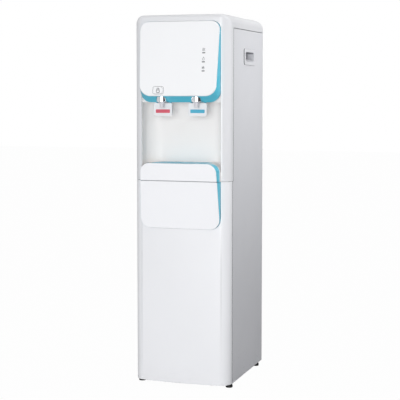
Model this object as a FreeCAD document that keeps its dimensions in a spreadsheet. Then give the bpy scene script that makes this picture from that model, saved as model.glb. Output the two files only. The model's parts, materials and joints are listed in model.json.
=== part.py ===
import FreeCAD, Part
import os
import re
import Sketcher
from FreeCAD import Placement, Rotation, Vector

# A floor-standing hot and cold water dispenser. Millimetres, +Z up, front towards -Y.
# The origin is on the floor, in the middle of the whole machine's width and depth.

SIZES = {
    # Cabinet
    "cabinet_width": 310,
    "cabinet_depth": 384,
    "cabinet_top": 1148,
    "foot_height": 12,
    "cap_drop": 40,
    "cap_seam": "=cabinet_top - cap_drop",
    "seam_gap": 0.8,
    "side_gap": 2,
    "cap_gap": 1.5,
    "front_bow": 6,
    "corner_radius": 35,
    "upper_return": 51.5,
    "lower_return": 43,
    "shell_wall": 3,
    "sheet_gauge": 1,
    "sheet_flange": 15,
    "top_radius": 28,
    "brow_radius": 11,
    "fit_gap": 0.5,
    "seat_gap": 0.3,
    "overrun": 5,
    "reach": 500,
    # Cup alcove
    "opening_side": 27,
    "opening_half": "=cabinet_width / 2 - opening_side",
    "opening_drop": 20.4,
    "opening_top": "=cabinet_top - opening_drop",
    "opening_radius": 27,
    "alcove_depth": 78,
    "alcove_radius": 45,
    "liner_wall": 2.5,
    "liner_front": 14.4,
    # Upper fascia
    "panel_proud": 26,
    "upper_top_proud": 1.5,
    "upper_drop": 21,
    "upper_tall": 224,
    "upper_top": "=cabinet_top - upper_drop",
    "upper_bottom": "=upper_top - upper_tall",
    "alcove_drop": 21,
    "alcove_top": "=upper_bottom - alcove_drop",
    "trim_half": "=opening_half - fit_gap",
    "trim_flare": 6,
    "trim_front_half": "=trim_half - trim_flare",
    "trim_wall": 2.5,
    "trim_back": 11,
    "trim_start": 1,
    "lip_radius": 34,
    "panel_thick": 3,
    # Lower fascia and drip tray
    "alcove_tall": 186,
    "tray_top": "=alcove_top - alcove_tall",
    "split_drop": 55,
    "fascia_gap": 1.6,
    "split_height": "=tray_top - split_drop",
    "lower_tall": 201,
    "lower_bottom": "=tray_top - lower_tall",
    "lower_top_radius": 28,
    "lower_bottom_radius": 32,
    "lower_bottom_proud": 1,
    "tray_wall": 3,
    "tray_floor": 3,
    "tray_rim": 5,
    "tray_rear_radius": "=alcove_radius - fit_gap",
    "tray_tuck": 14,
    "grille_thick": 3,
    "grille_slot": 3,
    "grille_pitch": 12,
    "grille_slots": 13,
    "grille_land": 12,
    # Taps
    "tap_spread_share": 0.4375,
    "tap_spread": "=opening_half * tap_spread_share",
    "tap_forward": 6.5,
    "collar_radius": 17.5,
    "collar_taper": 4,
    "collar_gap": 4,
    "collar_tall": 14,
    "collar_top": "=upper_bottom - collar_gap",
    "collar_bottom": "=collar_top - collar_tall",
    "nozzle_radius": 7,
    "nozzle_bore": 4.5,
    "nozzle_drop": 19,
    "nozzle_bottom": "=collar_bottom - nozzle_drop",
    "valve_root_radius": 13,
    "valve_root_tall": 9.3,
    "valve_root_rise": 0.3,
    "valve_root_top": "=collar_top + valve_root_rise",
    "valve_root_bottom": "=valve_root_top - valve_root_tall",
    "valve_radius": 8,
    "valve_tall": 36.7,
    "valve_top": "=valve_root_top + valve_tall",
    "spigot_radius": 6,
    "spigot_bore": 4,
    "spigot_length": 26,
    "spigot_drop": 8,
    "spigot_height": "=valve_top - spigot_drop",
    "hinge_drop": 26,
    "hinge_height": "=upper_bottom - hinge_drop",
    "plunger_rise": 35.3,
    "plunger_height": "=hinge_height + plunger_rise",
    "plunger_radius": 4,
    "plunger_length": 14.4,
    "plunger_bore_end": 6.8,
    "spring_radius": 3.2,
    "spring_wire": 0.5,
    "spring_pitch": 1.8,
    "guide_wall": 2.5,
    "run_gap": 0.05,
    "hinge_back": 12,
    "pin_radius": 1.5,
    "ear_inside": 20,
    "ear_thick": 4,
    "ear_radius": 5,
    "knuckle_radius": 4,
    "paddle_half": 29.5,
    "paddle_front": 1,
    "paddle_thick": 4,
    "paddle_drop": 37,
    "paddle_bottom": "=hinge_height - paddle_drop",
    "paddle_rise": 3,
    "paddle_top": "=hinge_height + paddle_rise",
    "paddle_corner": 6,
    "press_swing": 10,
    "tongue_half": 5,
    "tongue_thick": 2.5,
    "tongue_rise": 36.5,
    "tongue_top": "=hinge_height + tongue_rise",
    "strip_half": 23,
    "strip_lift": 9.5,
    "strip_bottom": "=paddle_bottom + strip_lift",
    "strip_height": 10.8,
    "strip_thick": 0.8,
    "strip_corner": 2,
    # Controls on the upper panel, measured along its slope from its lower edge
    "lock_inset": 59.5,
    "lock_side": "=trim_front_half - lock_inset",
    "lock_rise": 15.7,
    "lock_width": 32,
    "lock_height": 21,
    "lock_corner": 10,
    "lock_proud": 1.5,
    "lock_rim": 1.5,
    "lock_rim_thick": 1.2,
    "lock_travel": 2,
    "lock_tail_out": 14,
    "lock_tail_side": "=lock_side + lock_tail_out",
    "lock_tail_radius": 2,
    "switch_width": 12,
    "switch_height": 9,
    "switch_depth": 4,
    "lens_inset": 41.5,
    "lens_side": "=trim_front_half - lens_inset",
    "lens_rise": 74,
    "lens_count": 3,
    "lens_pitch": 27.4,
    "lens_width": 10,
    "lens_height": 3,
    "lens_corner": 1.2,
    "board_gap": 12,
    "board_thick": 1.6,
    "board_inset": 23.5,
    "board_half": "=trim_front_half - board_inset",
    "board_bottom": 40,
    "board_top": 150,
    "board_tab_bottom": 8,
    "board_tab_width": 27,
    "boss_radius": 4,
    "boss_inset": 9,
    # Hand grips
    "grip_middle": 45,
    "grip_drop": 124,
    "grip_height": "=cabinet_top - grip_drop",
    "grip_wide": 126,
    "grip_tall": 51,
    "grip_corner": 9,
    "grip_flange": 2,
    "grip_open_wide": 96,
    "grip_open_tall": 29,
    "grip_open_corner": 8,
    "grip_deep": 32,
    "grip_inner_tall": 16,
    "grip_wall": 2,
    # Bottle seat
    "seat_middle": 30,
    "seat_collar": 97,
    "seat_rise": 7.5,
    "seat_top": "=cabinet_top + seat_rise",
    "seat_mouth": 84,
    "brim_drop": 5,
    "seat_brim": "=cabinet_top - brim_drop",
    "funnel_deep": 25,
    "seat_shoulder": "=seat_brim - funnel_deep",
    "seat_round": 4,
    "seat_neck": 33,
    "neck_deep": 52,
    "seat_floor": "=seat_shoulder - neck_deep",
    "seat_wall": 3,
    "seat_skirt": 88,
    "probe_radius": 13,
    "probe_tip_radius": 7,
    "probe_rise": 10,
    "probe_top": "=seat_shoulder + probe_rise",
    "probe_tip": 12,
    "probe_bore": 4,
    "probe_slot": 5,
    # Tanks
    "cold_clear": 75,
    "cold_radius": "=cabinet_width / 2 - cold_clear",
    "neck_dip": 12,
    "cold_tall": 190,
    "cold_top": "=seat_floor + neck_dip",
    "cold_bottom": "=cold_top - cold_tall",
    "tank_wall": 1.5,
    "jacket_thick": 20,
    "foam_floor": 16,
    "hot_foam_thick": 16,
    "lid_thick": 3,
    "lid_collar": 14,
    "shelf_gauge": 2,
    "shelf_flange": 14,
    "shelf_front": 62,
    "shelf_back": 152,
    "hot_clear": 93,
    "hot_radius": "=cabinet_width / 2 - hot_clear",
    "hot_gap": 42,
    "hot_tall": 146,
    "hot_top": "=cold_bottom - hot_gap",
    "hot_bottom": "=hot_top - hot_tall",
    "hot_dome": 14,
    "thermostat_radius": 11,
    "thermostat_height": 9,
    "hose_bend": 16,
    "hose_wall": 2,
    "hose_grip": 10,
    "hose_clear": 20,
    "hot_outlet_drop": 26,
    "hot_outlet_height": "=hot_top - hot_outlet_drop",
    "outlet_radius": 6,
    # Base and cooling
    "pan_height": 32,
    "pan_gauge": 1.5,
    "pan_recess": 14,
    "foot_radius": 11,
    "foot_waist": 9,
    "foot_inset": 11,
    "foot_side": "=cabinet_width / 2 - foot_inset",
    "foot_front": 132,
    "foot_rear": 168,
    "compressor_radius": 64,
    "compressor_middle": 50,
    "compressor_top": 178,
    "compressor_waist": 100,
    "compressor_dome": 34,
    "compressor_plate": 3,
    "compressor_wall": 3.5,
    "motor_radius": 42,
    "motor_tall": 88,
    "terminal_half": 22,
    "terminal_proud": 8,
    "plate_half_wide": 88,
    "plate_half_deep": 52,
    "grommet_radius": 9,
    "grommet_height": 16,
    "grommet_inset": 14,
    "coil_tube": 2.5,
    "coil_inset": 37,
    "coil_half": "=cabinet_width / 2 - coil_inset",
    "coil_bend": 18,
    "coil_passes": 12,
    "coil_bottom": 130,
    "wire_radius": 0.8,
    "wire_count": 15,
    "wire_inset": 18,
    "wire_half": "=coil_half - wire_inset",
    "wire_over": 10,
    "strap_wide": 22,
    "strap_gauge": 2,
    "strap_over": 20,
    "line_radius": 3,
    "line_bend": 14,
    "discharge_out": 12,
    "suction_side": 88,
    # Rear
    "rear_bottom": 575,
    "rear_recess": 22,
    "rear_side_gap": 0.5,
    "switch_box_wide": 44,
    "switch_box_tall": 30,
    "switch_box_deep": 24,
    "switch_box_flange": 4,
    "switch_box_rim": 2,
    "switch_inset": 65,
    "switch_side": "=cabinet_width / 2 - switch_inset",
    "switch_rise": 40,
    "rocker_wide": 15,
    "rocker_tall": 22,
    "rocker_gap": 3,
    "rocker_deep": 6,
    "rocker_face": 3.4,
    "rocker_dish_share": 0.55,
    "rocker_pivot": 3,
    "rocker_pin": 1.5,
    "rocker_pin_out": 0.9,
    "rocker_well": 12,
    "rocker_swing": 16,
    "drain_inset": 65,
    "drain_side": "=cabinet_width / 2 - drain_inset",
    "drain_rise": 40,
    "drain_radius": 11,
    "drain_bore": 6,
    "drain_proud": 16,
    "drain_tail": 18,
    "drain_flange": 16,
    "drain_flange_thick": 2,
    "cap_radius": 15,
    "cap_wall": 3,
    "cap_ribs": 8,
    "cap_notch": 1.5,
    "gland_inset": 45,
    "gland_side": "=cabinet_width / 2 - gland_inset",
    "gland_radius": 7,
    "gland_bore": 4,
    "gland_proud": 9,
    "gland_flange": 10,
    "gland_flange_thick": 3,
}

doc = FreeCAD.newDocument("water_dispenser")
sheet = doc.addObject("Spreadsheet::Sheet", "sizes")
for row, (alias, value) in enumerate(SIZES.items(), start=1):
    sheet.set(f"A{row}", alias)
    sheet.set(f"B{row}", str(value))
    sheet.setAlias(f"B{row}", alias)
doc.recompute()

sub_parts = []

# Places that many pieces share, as expressions of the sheet
HALF = "(cabinet_width / 2)"
FRONT = "((panel_proud - cabinet_depth) / 2)"
BACK = "((panel_proud + cabinet_depth) / 2)"
UPPER_SEAM = f"({FRONT} + upper_return)"
LOWER_SEAM = f"({FRONT} + lower_return)"
ALCOVE_BACK = f"({FRONT} + alcove_depth)"
INSIDE = f"({HALF} - sheet_gauge)"
UPPER_TILT = "atan((panel_proud - upper_top_proud) / (upper_top - upper_bottom))"
LOWER_TILT = "atan((panel_proud - lower_bottom_proud) / (tray_top - lower_bottom))"
TAP_Y = f"({FRONT} - tap_forward)"
HINGE_Y = f"({FRONT} + hinge_back)"


def on_sheet(expression):
    """An expression with each size written as a cell of the sheet."""
    def cell(match):
        word = match.group(0)
        return f"sizes.{word}" if word in SIZES else word
    return re.sub(r"[A-Za-z_]\w*", cell, str(expression))


def number(expression):
    """The value of an expression of the sheet."""
    found = sheet.evalExpression(on_sheet(expression))
    return float(getattr(found, "Value", found))


def bind(thing, **properties):
    """Binds properties of an object to expressions of the sheet."""
    for name, expression in properties.items():
        thing.setExpression(name.replace("__", "."), on_sheet(expression))


def place(thing, x=0, y=0, z=0, turn=None, axis=Vector(1, 0, 0)):
    """Binds an object's place, and its turn about one axis, to the sheet."""
    if turn is not None:
        thing.Placement = Placement(Vector(), Rotation(axis, number(turn)))
        bind(thing, Placement__Rotation__Angle=turn)
    bind(thing, Placement__Base__x=x, Placement__Base__y=y, Placement__Base__z=z)


def keep(thing, label):
    """Names a finished sub-part and adds it to those that are written out."""
    thing.Label = label
    sub_parts.append(thing)
    return thing


def body(name):
    """A new, empty body."""
    return doc.addObject("PartDesign::Body", name)


def sketch_on(owner, role, offset=0):
    """A sketch on one of a body's own planes, moved along that plane's normal."""
    plane = next(item for item in owner.Origin.OriginFeatures if item.Role == role)
    sketch = owner.newObject("Sketcher::SketchObject", f"{owner.Name}_sketch")
    sketch.AttachmentSupport = (plane, [""])
    sketch.MapMode = "FlatFace"
    bind(sketch, AttachmentOffset__Base__z=offset)
    return sketch


def arc_centre(start, end, radius, turn):
    """The centre of an arc of under half a circle between two points, turning left (1) or right (-1)."""
    chord = end - start
    side = Vector(-chord.y, chord.x, 0).normalize() * turn
    rise = max(radius * radius - chord.Length * chord.Length / 4, 0) ** 0.5
    return (start + end) / 2 + side * rise


def outline(sketch, points, closed=True):
    """Draws an outline, each point bound to the sheet.

    A point is (x, y), or (x, y, radius, turn) where an arc leads on to the next point.
    """
    spots = [Vector(number(point[0]), number(point[1]), 0) for point in points]
    count = len(points)
    first = sketch.GeometryCount
    heads = []
    tails = []
    lines = count if closed else count - 1
    for index, point in enumerate(points[:lines]):
        start = spots[index]
        end = spots[(index + 1) % count]
        if len(point) == 2:
            sketch.addGeometry(Part.LineSegment(start, end), False)
            heads.append(1)
            tails.append(2)
            continue
        radius = number(point[2])
        circle = Part.Circle(arc_centre(start, end, radius, point[3]), Vector(0, 0, 1), radius)
        near, far = (start, end) if point[3] > 0 else (end, start)
        sketch.addGeometry(Part.ArcOfCircle(circle, circle.parameter(near), circle.parameter(far)), False)
        heads.append(1 if point[3] > 0 else 2)
        tails.append(2 if point[3] > 0 else 1)
    for index in range(lines if closed else lines - 1):
        following = (index + 1) % count
        sketch.addConstraint(Sketcher.Constraint(
            "Coincident", first + index, tails[index], first + following, heads[following]))
    for index, point in enumerate(points):
        line, end = (index, heads[index]) if index < lines else (index - 1, tails[index - 1])
        for kind, expression, value in (("DistanceX", point[0], spots[index].x),
                                        ("DistanceY", point[1], spots[index].y)):
            tie(sketch, Sketcher.Constraint(kind, -1, 1, first + line, end, value), expression)
        if len(point) > 2:
            tie(sketch, Sketcher.Constraint("Radius", first + index, number(point[2])), point[2])
    return sketch


def tie(sketch, constraint, expression):
    """Adds a constraint to a sketch and binds its value to the sheet."""
    index = sketch.addConstraint(constraint)
    sketch.renameConstraint(index, f"size_{index}")
    bind(sketch, **{f"Constraints__size_{index}": expression})


def circle(sketch, x, y, radius):
    """Draws a circle bound to the sheet."""
    spot = Vector(number(x), number(y), 0)
    index = sketch.addGeometry(Part.Circle(spot, Vector(0, 0, 1), number(radius)), False)
    tie(sketch, Sketcher.Constraint("DistanceX", -1, 1, index, 3, spot.x), x)
    tie(sketch, Sketcher.Constraint("DistanceY", -1, 1, index, 3, spot.y), y)
    tie(sketch, Sketcher.Constraint("Radius", index, number(radius)), radius)
    return sketch


def rounded(left, right, bottom, top, low, high=None):
    """The points of a rectangle whose lower and upper corners are rounded."""
    high = low if high is None else high
    return [
        (f"{left} + {low}", bottom),
        (f"{right} - {low}", bottom, low, 1),
        (right, f"{bottom} + {low}"),
        (right, f"{top} - {high}", high, 1),
        (f"{right} - {high}", top),
        (f"{left} + {high}", top, high, 1),
        (left, f"{top} - {high}"),
        (left, f"{bottom} + {low}", low, 1),
    ]


def rectangle(left, right, bottom, top):
    """The points of a rectangle."""
    return [(left, bottom), (right, bottom), (right, top), (left, top)]


def pad(owner, sketch, length, reverse=False, both=False):
    """Extrudes a sketch."""
    feature = owner.newObject("PartDesign::Pad", f"{owner.Name}_pad")
    feature.Profile = sketch
    feature.Reversed = reverse
    feature.SideType = "Symmetric" if both else "One side"
    bind(feature, Length=length)
    return feature


def pocket(owner, sketch, length, reverse=False, both=False):
    """Cuts a sketch out of a body."""
    feature = owner.newObject("PartDesign::Pocket", f"{owner.Name}_pocket")
    feature.Profile = sketch
    feature.Reversed = reverse
    feature.SideType = "Symmetric" if both else "One side"
    bind(feature, Length=length)
    return feature


def turned(name, points, x=0, y=0, z=0):
    """A body turned about a vertical axis from a profile of (radius, height) points."""
    owner = body(name)
    sketch = outline(sketch_on(owner, "XZ_Plane"), points)
    feature = owner.newObject("PartDesign::Revolution", f"{name}_turn")
    feature.Profile = sketch
    feature.ReferenceAxis = (sketch, ["V_Axis"])
    feature.Angle = 360
    place(owner, x, y, z)
    return owner


def lofted(name, role, sections):
    """A body with flat sides through outlines, each given as (offset, points)."""
    owner = body(name)
    sketches = [outline(sketch_on(owner, role, offset), points) for offset, points in sections]
    feature = owner.newObject("PartDesign::AdditiveLoft", f"{name}_loft")
    feature.Profile = sketches[0]
    feature.Sections = sketches[1:]
    feature.Ruled = True
    return owner


def block(name, left, right, front, back, bottom, top):
    """A box between two faces along each axis."""
    box = doc.addObject("Part::Box", name)
    bind(box, Length=f"{right} - ({left})", Width=f"{back} - ({front})", Height=f"{top} - ({bottom})")
    place(box, left, front, bottom)
    return box


def rod(name, radius, length, x, y, z, along="z"):
    """A cylinder that starts at a point and runs along +X, +Y or +Z."""
    cylinder = doc.addObject("Part::Cylinder", name)
    bind(cylinder, Radius=radius, Height=length)
    turns = {"x": (Vector(0, 1, 0), 90), "y": (Vector(1, 0, 0), -90), "z": (Vector(0, 0, 1), 0)}
    axis, angle = turns[along]
    cylinder.Placement = Placement(Vector(), Rotation(axis, angle))
    place(cylinder, x, y, z)
    return cylinder


def slab(name, y, z, tilt, start, thick):
    """A wide tilted slab behind a sloping plane through a point, from one depth to another."""
    box = doc.addObject("Part::Box", name)
    bind(box, Length="cabinet_width", Width=thick, Height="2 * reach")
    place(box, f"-{HALF}", f"{y} + ({start}) * cos({tilt}) + reach * sin({tilt})",
          f"{z} + ({start}) * sin({tilt}) - reach * cos({tilt})", tilt)
    return box


def cut(name, base, *tools):
    """One solid with others taken away."""
    for index, tool in enumerate(tools):
        step = doc.addObject("Part::Cut", f"{name}_cut{index}")
        step.Base = base
        step.Tool = tool
        base = step
    return base


def fuse(name, *solids):
    """Several solids joined into one."""
    joined = doc.addObject("Part::MultiFuse", name)
    joined.Shapes = list(solids)
    return joined


def common(name, one, other):
    """What two solids share."""
    shared = doc.addObject("Part::Common", name)
    shared.Base = one
    shared.Tool = other
    return shared


def group(name, solids):
    """Like pieces kept together in one sub-part."""
    gathered = doc.addObject("Part::Compound", name)
    gathered.Links = list(solids)
    return gathered


def rounded_edges(name, base, choose):
    """Rounds the edges for which choose gives a (start, end) radius, measured at each vertex."""
    doc.recompute()
    edges = []
    for index, edge in enumerate(base.Shape.Edges, start=1):
        radii = choose(edge)
        if radii:
            edges.append((index, radii[0], radii[1]))
    feature = doc.addObject("Part::Fillet", name)
    feature.Base = base
    feature.Edges = edges
    return feature


def front_plan(end, inset="0"):
    """The plan of a bowed front with round corners, moved inwards by an inset."""
    bow = f"((({HALF} - corner_radius) ^ 2 + front_bow ^ 2) / (2 * front_bow))"
    arm = f"({bow} - corner_radius)"
    run = f"sqrt({arm} ^ 2 - ({HALF} - corner_radius) ^ 2)"
    share = f"(({bow} - {inset}) / {arm})"
    side = f"({HALF} - {inset})"
    touch_x = f"(({HALF} - corner_radius) * {share})"
    touch_y = f"({FRONT} + {bow} - {run} * {share})"
    corner_y = f"({FRONT} + {bow} - {run})"
    corner = f"(corner_radius - {inset})"
    return [
        (f"-{side}", end),
        (f"-{side}", corner_y, corner, 1),
        (f"-{touch_x}", touch_y, f"({bow} - {inset})", 1),
        (touch_x, touch_y, corner, 1),
        (side, corner_y),
        (side, end),
    ]


def prism(name, points, bottom, top):
    """An upright prism on a plan."""
    owner = body(name)
    pad(owner, outline(sketch_on(owner, "XY_Plane", bottom), points), f"{top} - ({bottom})")
    return owner


def through_front(name, points, start, length):
    """A prism along Y on an upright outline, running back from a depth."""
    owner = body(name)
    pad(owner, outline(sketch_on(owner, "XZ_Plane", f"-({start})"), points), length, reverse=True)
    return owner


def top_rounding(side, brow, top):
    """Chooses the radius of a front shell's top edges: large at the sides, small over the front."""
    edge_line = number(top)
    middle = number(f"{HALF} - corner_radius")

    def choose(edge):
        if min(vertex.Z for vertex in edge.Vertexes) < edge_line - number("seam_gap"):
            return None
        spots = [abs(vertex.X) for vertex in edge.Vertexes]
        if all(vertex.Y > number(UPPER_SEAM) - number("seam_gap") for vertex in edge.Vertexes):
            return None
        ends = [number(brow) if spot < middle + number("front_bow") else number(side) for spot in spots]
        return ends
    return choose


def cover_rounding(radius, top):
    """Chooses the top edges of the cover at its sides and rear."""
    def choose(edge):
        low = min(vertex.Z for vertex in edge.Vertexes)
        front = max(vertex.Y for vertex in edge.Vertexes) < number(UPPER_SEAM) + number("overrun")
        if low < number(top) - number("seam_gap") or front:
            return None
        return number(radius), number(radius)
    return choose


def front_upper_shell():
    """The one-piece upper front: bowed, round-cornered and open for the fascia and alcove."""
    bottom = "(split_height + seam_gap)"
    outer = rounded_edges(
        "upper_outer_round", prism("upper_outer", front_plan(UPPER_SEAM), bottom, "cabinet_top"),
        top_rounding("top_radius", "brow_radius", "cabinet_top"))
    inner = rounded_edges(
        "upper_inner_round",
        prism("upper_inner", front_plan(f"({UPPER_SEAM} + overrun)", "shell_wall"),
              f"({bottom} - overrun)", "(cabinet_top - shell_wall)"),
        top_rounding("(top_radius - shell_wall)", "(brow_radius - shell_wall)",
                     "(cabinet_top - shell_wall)"))
    hole = through_front(
        "upper_opening",
        rounded("-opening_half", "opening_half", f"({bottom} - opening_radius - overrun)", "opening_top",
                "opening_radius"),
        f"({FRONT} - overrun)", "(upper_return - overrun)")
    keep(cut("front_upper_shell", outer, inner, hole), "front_upper_shell")


def front_lower_panel():
    """The lower front, with a notch at its top for the raised panel."""
    shell = prism("lower_outer", front_plan(LOWER_SEAM), "foot_height", "split_height")
    hollow = prism("lower_inner", front_plan(f"({LOWER_SEAM} + overrun)", "shell_wall"),
                   "(foot_height + shell_wall)", "(split_height + overrun)")
    notch = through_front(
        "lower_notch",
        rounded("-opening_half", "opening_half", "(lower_bottom - fit_gap)",
                "(split_height + lower_bottom_radius + overrun)", "(lower_bottom_radius + fit_gap)"),
        f"({FRONT} - overrun)", "(lower_return - overrun)")
    keep(cut("front_lower_panel", shell, hollow, notch), "front_lower_panel")


def top_cover():
    """The rear two thirds of the top, round at its sides and rear, with the hole for the bottle seat."""
    box = block("cover_box", f"-{HALF}", HALF, UPPER_SEAM, BACK, "cap_seam", "cabinet_top")
    outer = rounded_edges("cover_outer", box, cover_rounding("top_radius", "cabinet_top"))
    core = block("cover_core", f"-({HALF} - shell_wall)", f"({HALF} - shell_wall)",
                 f"({UPPER_SEAM} - overrun)", f"({BACK} - shell_wall)", "(cap_seam - overrun)",
                 "(cabinet_top - shell_wall)")
    inner = rounded_edges("cover_inner", core,
                          cover_rounding("(top_radius - shell_wall)", "(cabinet_top - shell_wall)"))
    hole = rod("cover_hole", "(seat_skirt + fit_gap)", "(cabinet_top - cap_seam + 2 * overrun)",
               0, "seat_middle", "(cap_seam - overrun)")
    keep(cut("top_cover", outer, inner, hole), "top_cover")


def grip_outline(wide, tall, corner, lift="0"):
    """A grip's outline in a plane seen from the side."""
    return rounded(f"(grip_middle - {wide} / 2)", f"(grip_middle + {wide} / 2)",
                   f"(grip_height + {lift} - {tall} / 2)", f"(grip_height + {lift} + {tall} / 2)", corner)


def side_panel(hand, sign):
    """A folded sheet side with a stepped front edge and a window for the hand grip."""
    owner = body(f"side_panel_{hand}")
    face = f"({sign} * {HALF})"
    inward = sign > 0
    upper = f"({UPPER_SEAM} + side_gap)"
    lower = f"({LOWER_SEAM} + side_gap)"
    top = "(cap_seam - cap_gap)"
    plan = [
        (lower, "foot_height"),
        (BACK, "foot_height"),
        (BACK, top),
        (upper, top),
        (upper, "split_height"),
        (lower, "split_height"),
    ]
    pad(owner, outline(sketch_on(owner, "YZ_Plane", face), plan), "sheet_gauge", reverse=inward)
    for front, back, low, high in (
            (f"({BACK} - sheet_gauge)", BACK, "foot_height", top),
            (upper, f"({upper} + sheet_gauge)", "split_height", top),
            (lower, f"({lower} + sheet_gauge)", "foot_height", "split_height")):
        pad(owner, outline(sketch_on(owner, "YZ_Plane", face), rectangle(front, back, low, high)),
            "sheet_flange", reverse=inward)
    doc.recompute()
    window = grip_outline("(grip_open_wide + 2 * grip_wall + 2 * fit_gap)",
                          "(grip_open_tall + 2 * grip_wall + 2 * fit_gap)",
                          "(grip_open_corner + grip_wall + fit_gap)")
    pocket(owner, outline(sketch_on(owner, "YZ_Plane", face), window), "2 * overrun", both=True)
    keep(owner, f"side_panel_{hand}")


def grip(hand, sign):
    """A moulded hand grip: a flange on the side panel and a pocket whose roof slopes inwards."""
    face = f"({sign} * {HALF})"
    inner = f"({sign} * ({HALF} - grip_deep))"
    mouth = grip_outline("grip_open_wide", "grip_open_tall", "grip_open_corner")
    back = grip_outline("grip_open_wide", "grip_inner_tall",
                        "grip_open_corner * grip_inner_tall / grip_open_tall",
                        "(grip_open_tall - grip_inner_tall) / 2")
    flange = body(f"grip_flange_{hand}")
    pad(flange, outline(sketch_on(flange, "YZ_Plane", face), grip_outline("grip_wide", "grip_tall",
                                                                          "grip_corner")),
        "grip_flange", reverse=sign < 0)
    wide = "(grip_open_wide + 2 * grip_wall)"
    tub = lofted(f"grip_tub_{hand}", "YZ_Plane", [
        (face, grip_outline(wide, "(grip_open_tall + 2 * grip_wall)", "(grip_open_corner + grip_wall)")),
        (f"({inner} - {sign} * grip_wall)",
         grip_outline(wide, "(grip_inner_tall + 2 * grip_wall)",
                      "(grip_open_corner * grip_inner_tall / grip_open_tall + grip_wall)",
                      "(grip_open_tall - grip_inner_tall) / 2")),
    ])
    hollow = lofted(f"grip_hollow_{hand}", "YZ_Plane", [(face, mouth), (inner, back)])
    throat = body(f"grip_throat_{hand}")
    pad(throat, outline(sketch_on(throat, "YZ_Plane", face), mouth), "(grip_flange + overrun)",
        reverse=sign < 0)
    joined = fuse(f"grip_solid_{hand}", flange, tub)
    keep(cut(f"grip_{hand}", joined, hollow, throat), f"grip_{hand}")


def round_plan(side, front, back, radius):
    """A plan with round rear corners."""
    return [
        (f"-{side}", front),
        (side, front),
        (side, f"{back} - {radius}", radius, 1),
        (f"{side} - {radius}", back),
        (f"-({side} - {radius})", back, radius, 1),
        (f"-{side}", f"{back} - {radius}"),
    ]


def alcove_liner():
    """The cup alcove's lining, with round rear corners and plates behind the corners of the lip."""
    low = "(split_height + seam_gap)"
    start = f"({FRONT} + liner_front)"
    half = "(opening_half + liner_wall)"
    outer = prism("liner_outer",
                  round_plan(half, start, f"({ALCOVE_BACK} + liner_wall)",
                             "(alcove_radius + liner_wall)"),
                  low, "(alcove_top + liner_wall)")
    inner = prism("liner_inner", round_plan("opening_half", f"({start} - overrun)", ALCOVE_BACK,
                                            "alcove_radius"),
                  f"({low} + liner_wall)", "alcove_top")
    corners = [
        block(f"liner_corner_{hand}", left, right, start, f"({start} + liner_wall)", "alcove_top",
              "(alcove_top + lip_radius + liner_wall)")
        for hand, left, right in (("left", f"-{half}", "(lip_radius - opening_half)"),
                                  ("right", "(opening_half - lip_radius)", half))
    ]
    keep(cut("alcove_liner", fuse("liner_solid", outer, *corners), inner), "alcove_liner")


# How far the flared blocks draw in for each step forwards, carried on a little past their front
FLARE = "((trim_half - trim_front_half) / (panel_proud - trim_start))"
LIP_RISE = "((upper_bottom - alcove_top) / (panel_proud - trim_start))"
NOSE = "(panel_proud + overrun)"
NOSE_HALF = f"(trim_front_half - overrun * {FLARE})"


def upper_sections(inset):
    """The outlines of the upper fascia's flared block, from behind its frame to past its front."""
    def ring(half, bottom):
        return rounded(f"-({half} - {inset})", f"({half} - {inset})", f"({bottom} + {inset})",
                       f"(upper_top - {inset})", f"(lip_radius - {inset})", f"(opening_radius - {inset})")
    return [
        (f"-({FRONT} + trim_back)", ring("trim_half", "alcove_top")),
        (f"-({FRONT} - trim_start)", ring("trim_half", "alcove_top")),
        (f"-({FRONT} - {NOSE})", ring(NOSE_HALF, f"(upper_bottom + overrun * {LIP_RISE})")),
    ]


def lower_sections(inset):
    """The outlines of the lower fascia's flared block, which mirrors the upper one."""
    def ring(half):
        return rounded(f"-({half} - {inset})", f"({half} - {inset})", f"(lower_bottom + {inset})",
                       f"(tray_top - {inset})", f"(lower_bottom_radius - {inset})",
                       f"(lower_top_radius - {inset})")
    return [
        (f"-({FRONT} + trim_back)", ring("trim_half")),
        (f"-({FRONT} - trim_start)", ring("trim_half")),
        (f"-({FRONT} - {NOSE})", ring(NOSE_HALF)),
    ]


UPPER_FACE = (f"({FRONT} - panel_proud)", "upper_bottom", f"(-{UPPER_TILT})")
LOWER_FACE = (f"({FRONT} - panel_proud)", "tray_top", LOWER_TILT)


def tap_sides():
    """Each tap's name and the side of the machine that it is on."""
    return ("hot", -1), ("cold", 1)


def upper_trim():
    """The flared blue surround of the upper panel, with the taps' holes and hinge ears in its lip."""
    solid = lofted("upper_block", "XZ_Plane", upper_sections("0"))
    hollow = lofted("upper_core", "XZ_Plane", upper_sections("trim_wall"))
    behind = slab("upper_behind", *UPPER_FACE, "panel_thick", "reach")
    ring = cut("upper_ring", common("upper_backed", solid, behind), hollow)
    pieces = [ring]
    tools = []
    for tap, sign in tap_sides():
        middle = f"({sign} * tap_spread)"
        tools.append(rod(f"trim_hole_{tap}", "(collar_radius + seat_gap)", "(2 * collar_radius)",
                         middle, TAP_Y, "(alcove_top - collar_radius)"))
        tools.append(block(f"trim_slot_{tap}", f"({middle} - tongue_half - fit_gap)",
                           f"({middle} + tongue_half + fit_gap)",
                           f"({HINGE_Y} - trim_back / 2 - tongue_thick)",
                           f"({HINGE_Y} + overrun)", "(alcove_top - overrun)", "(alcove_top + overrun)"))
        for ear_sign in (-1, 1):
            pieces.append(hinge_ear(tap, middle, ear_sign))
    keep(cut("upper_trim", fuse("upper_trim_solid", *pieces), *tools), "upper_trim")
    return solid


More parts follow.
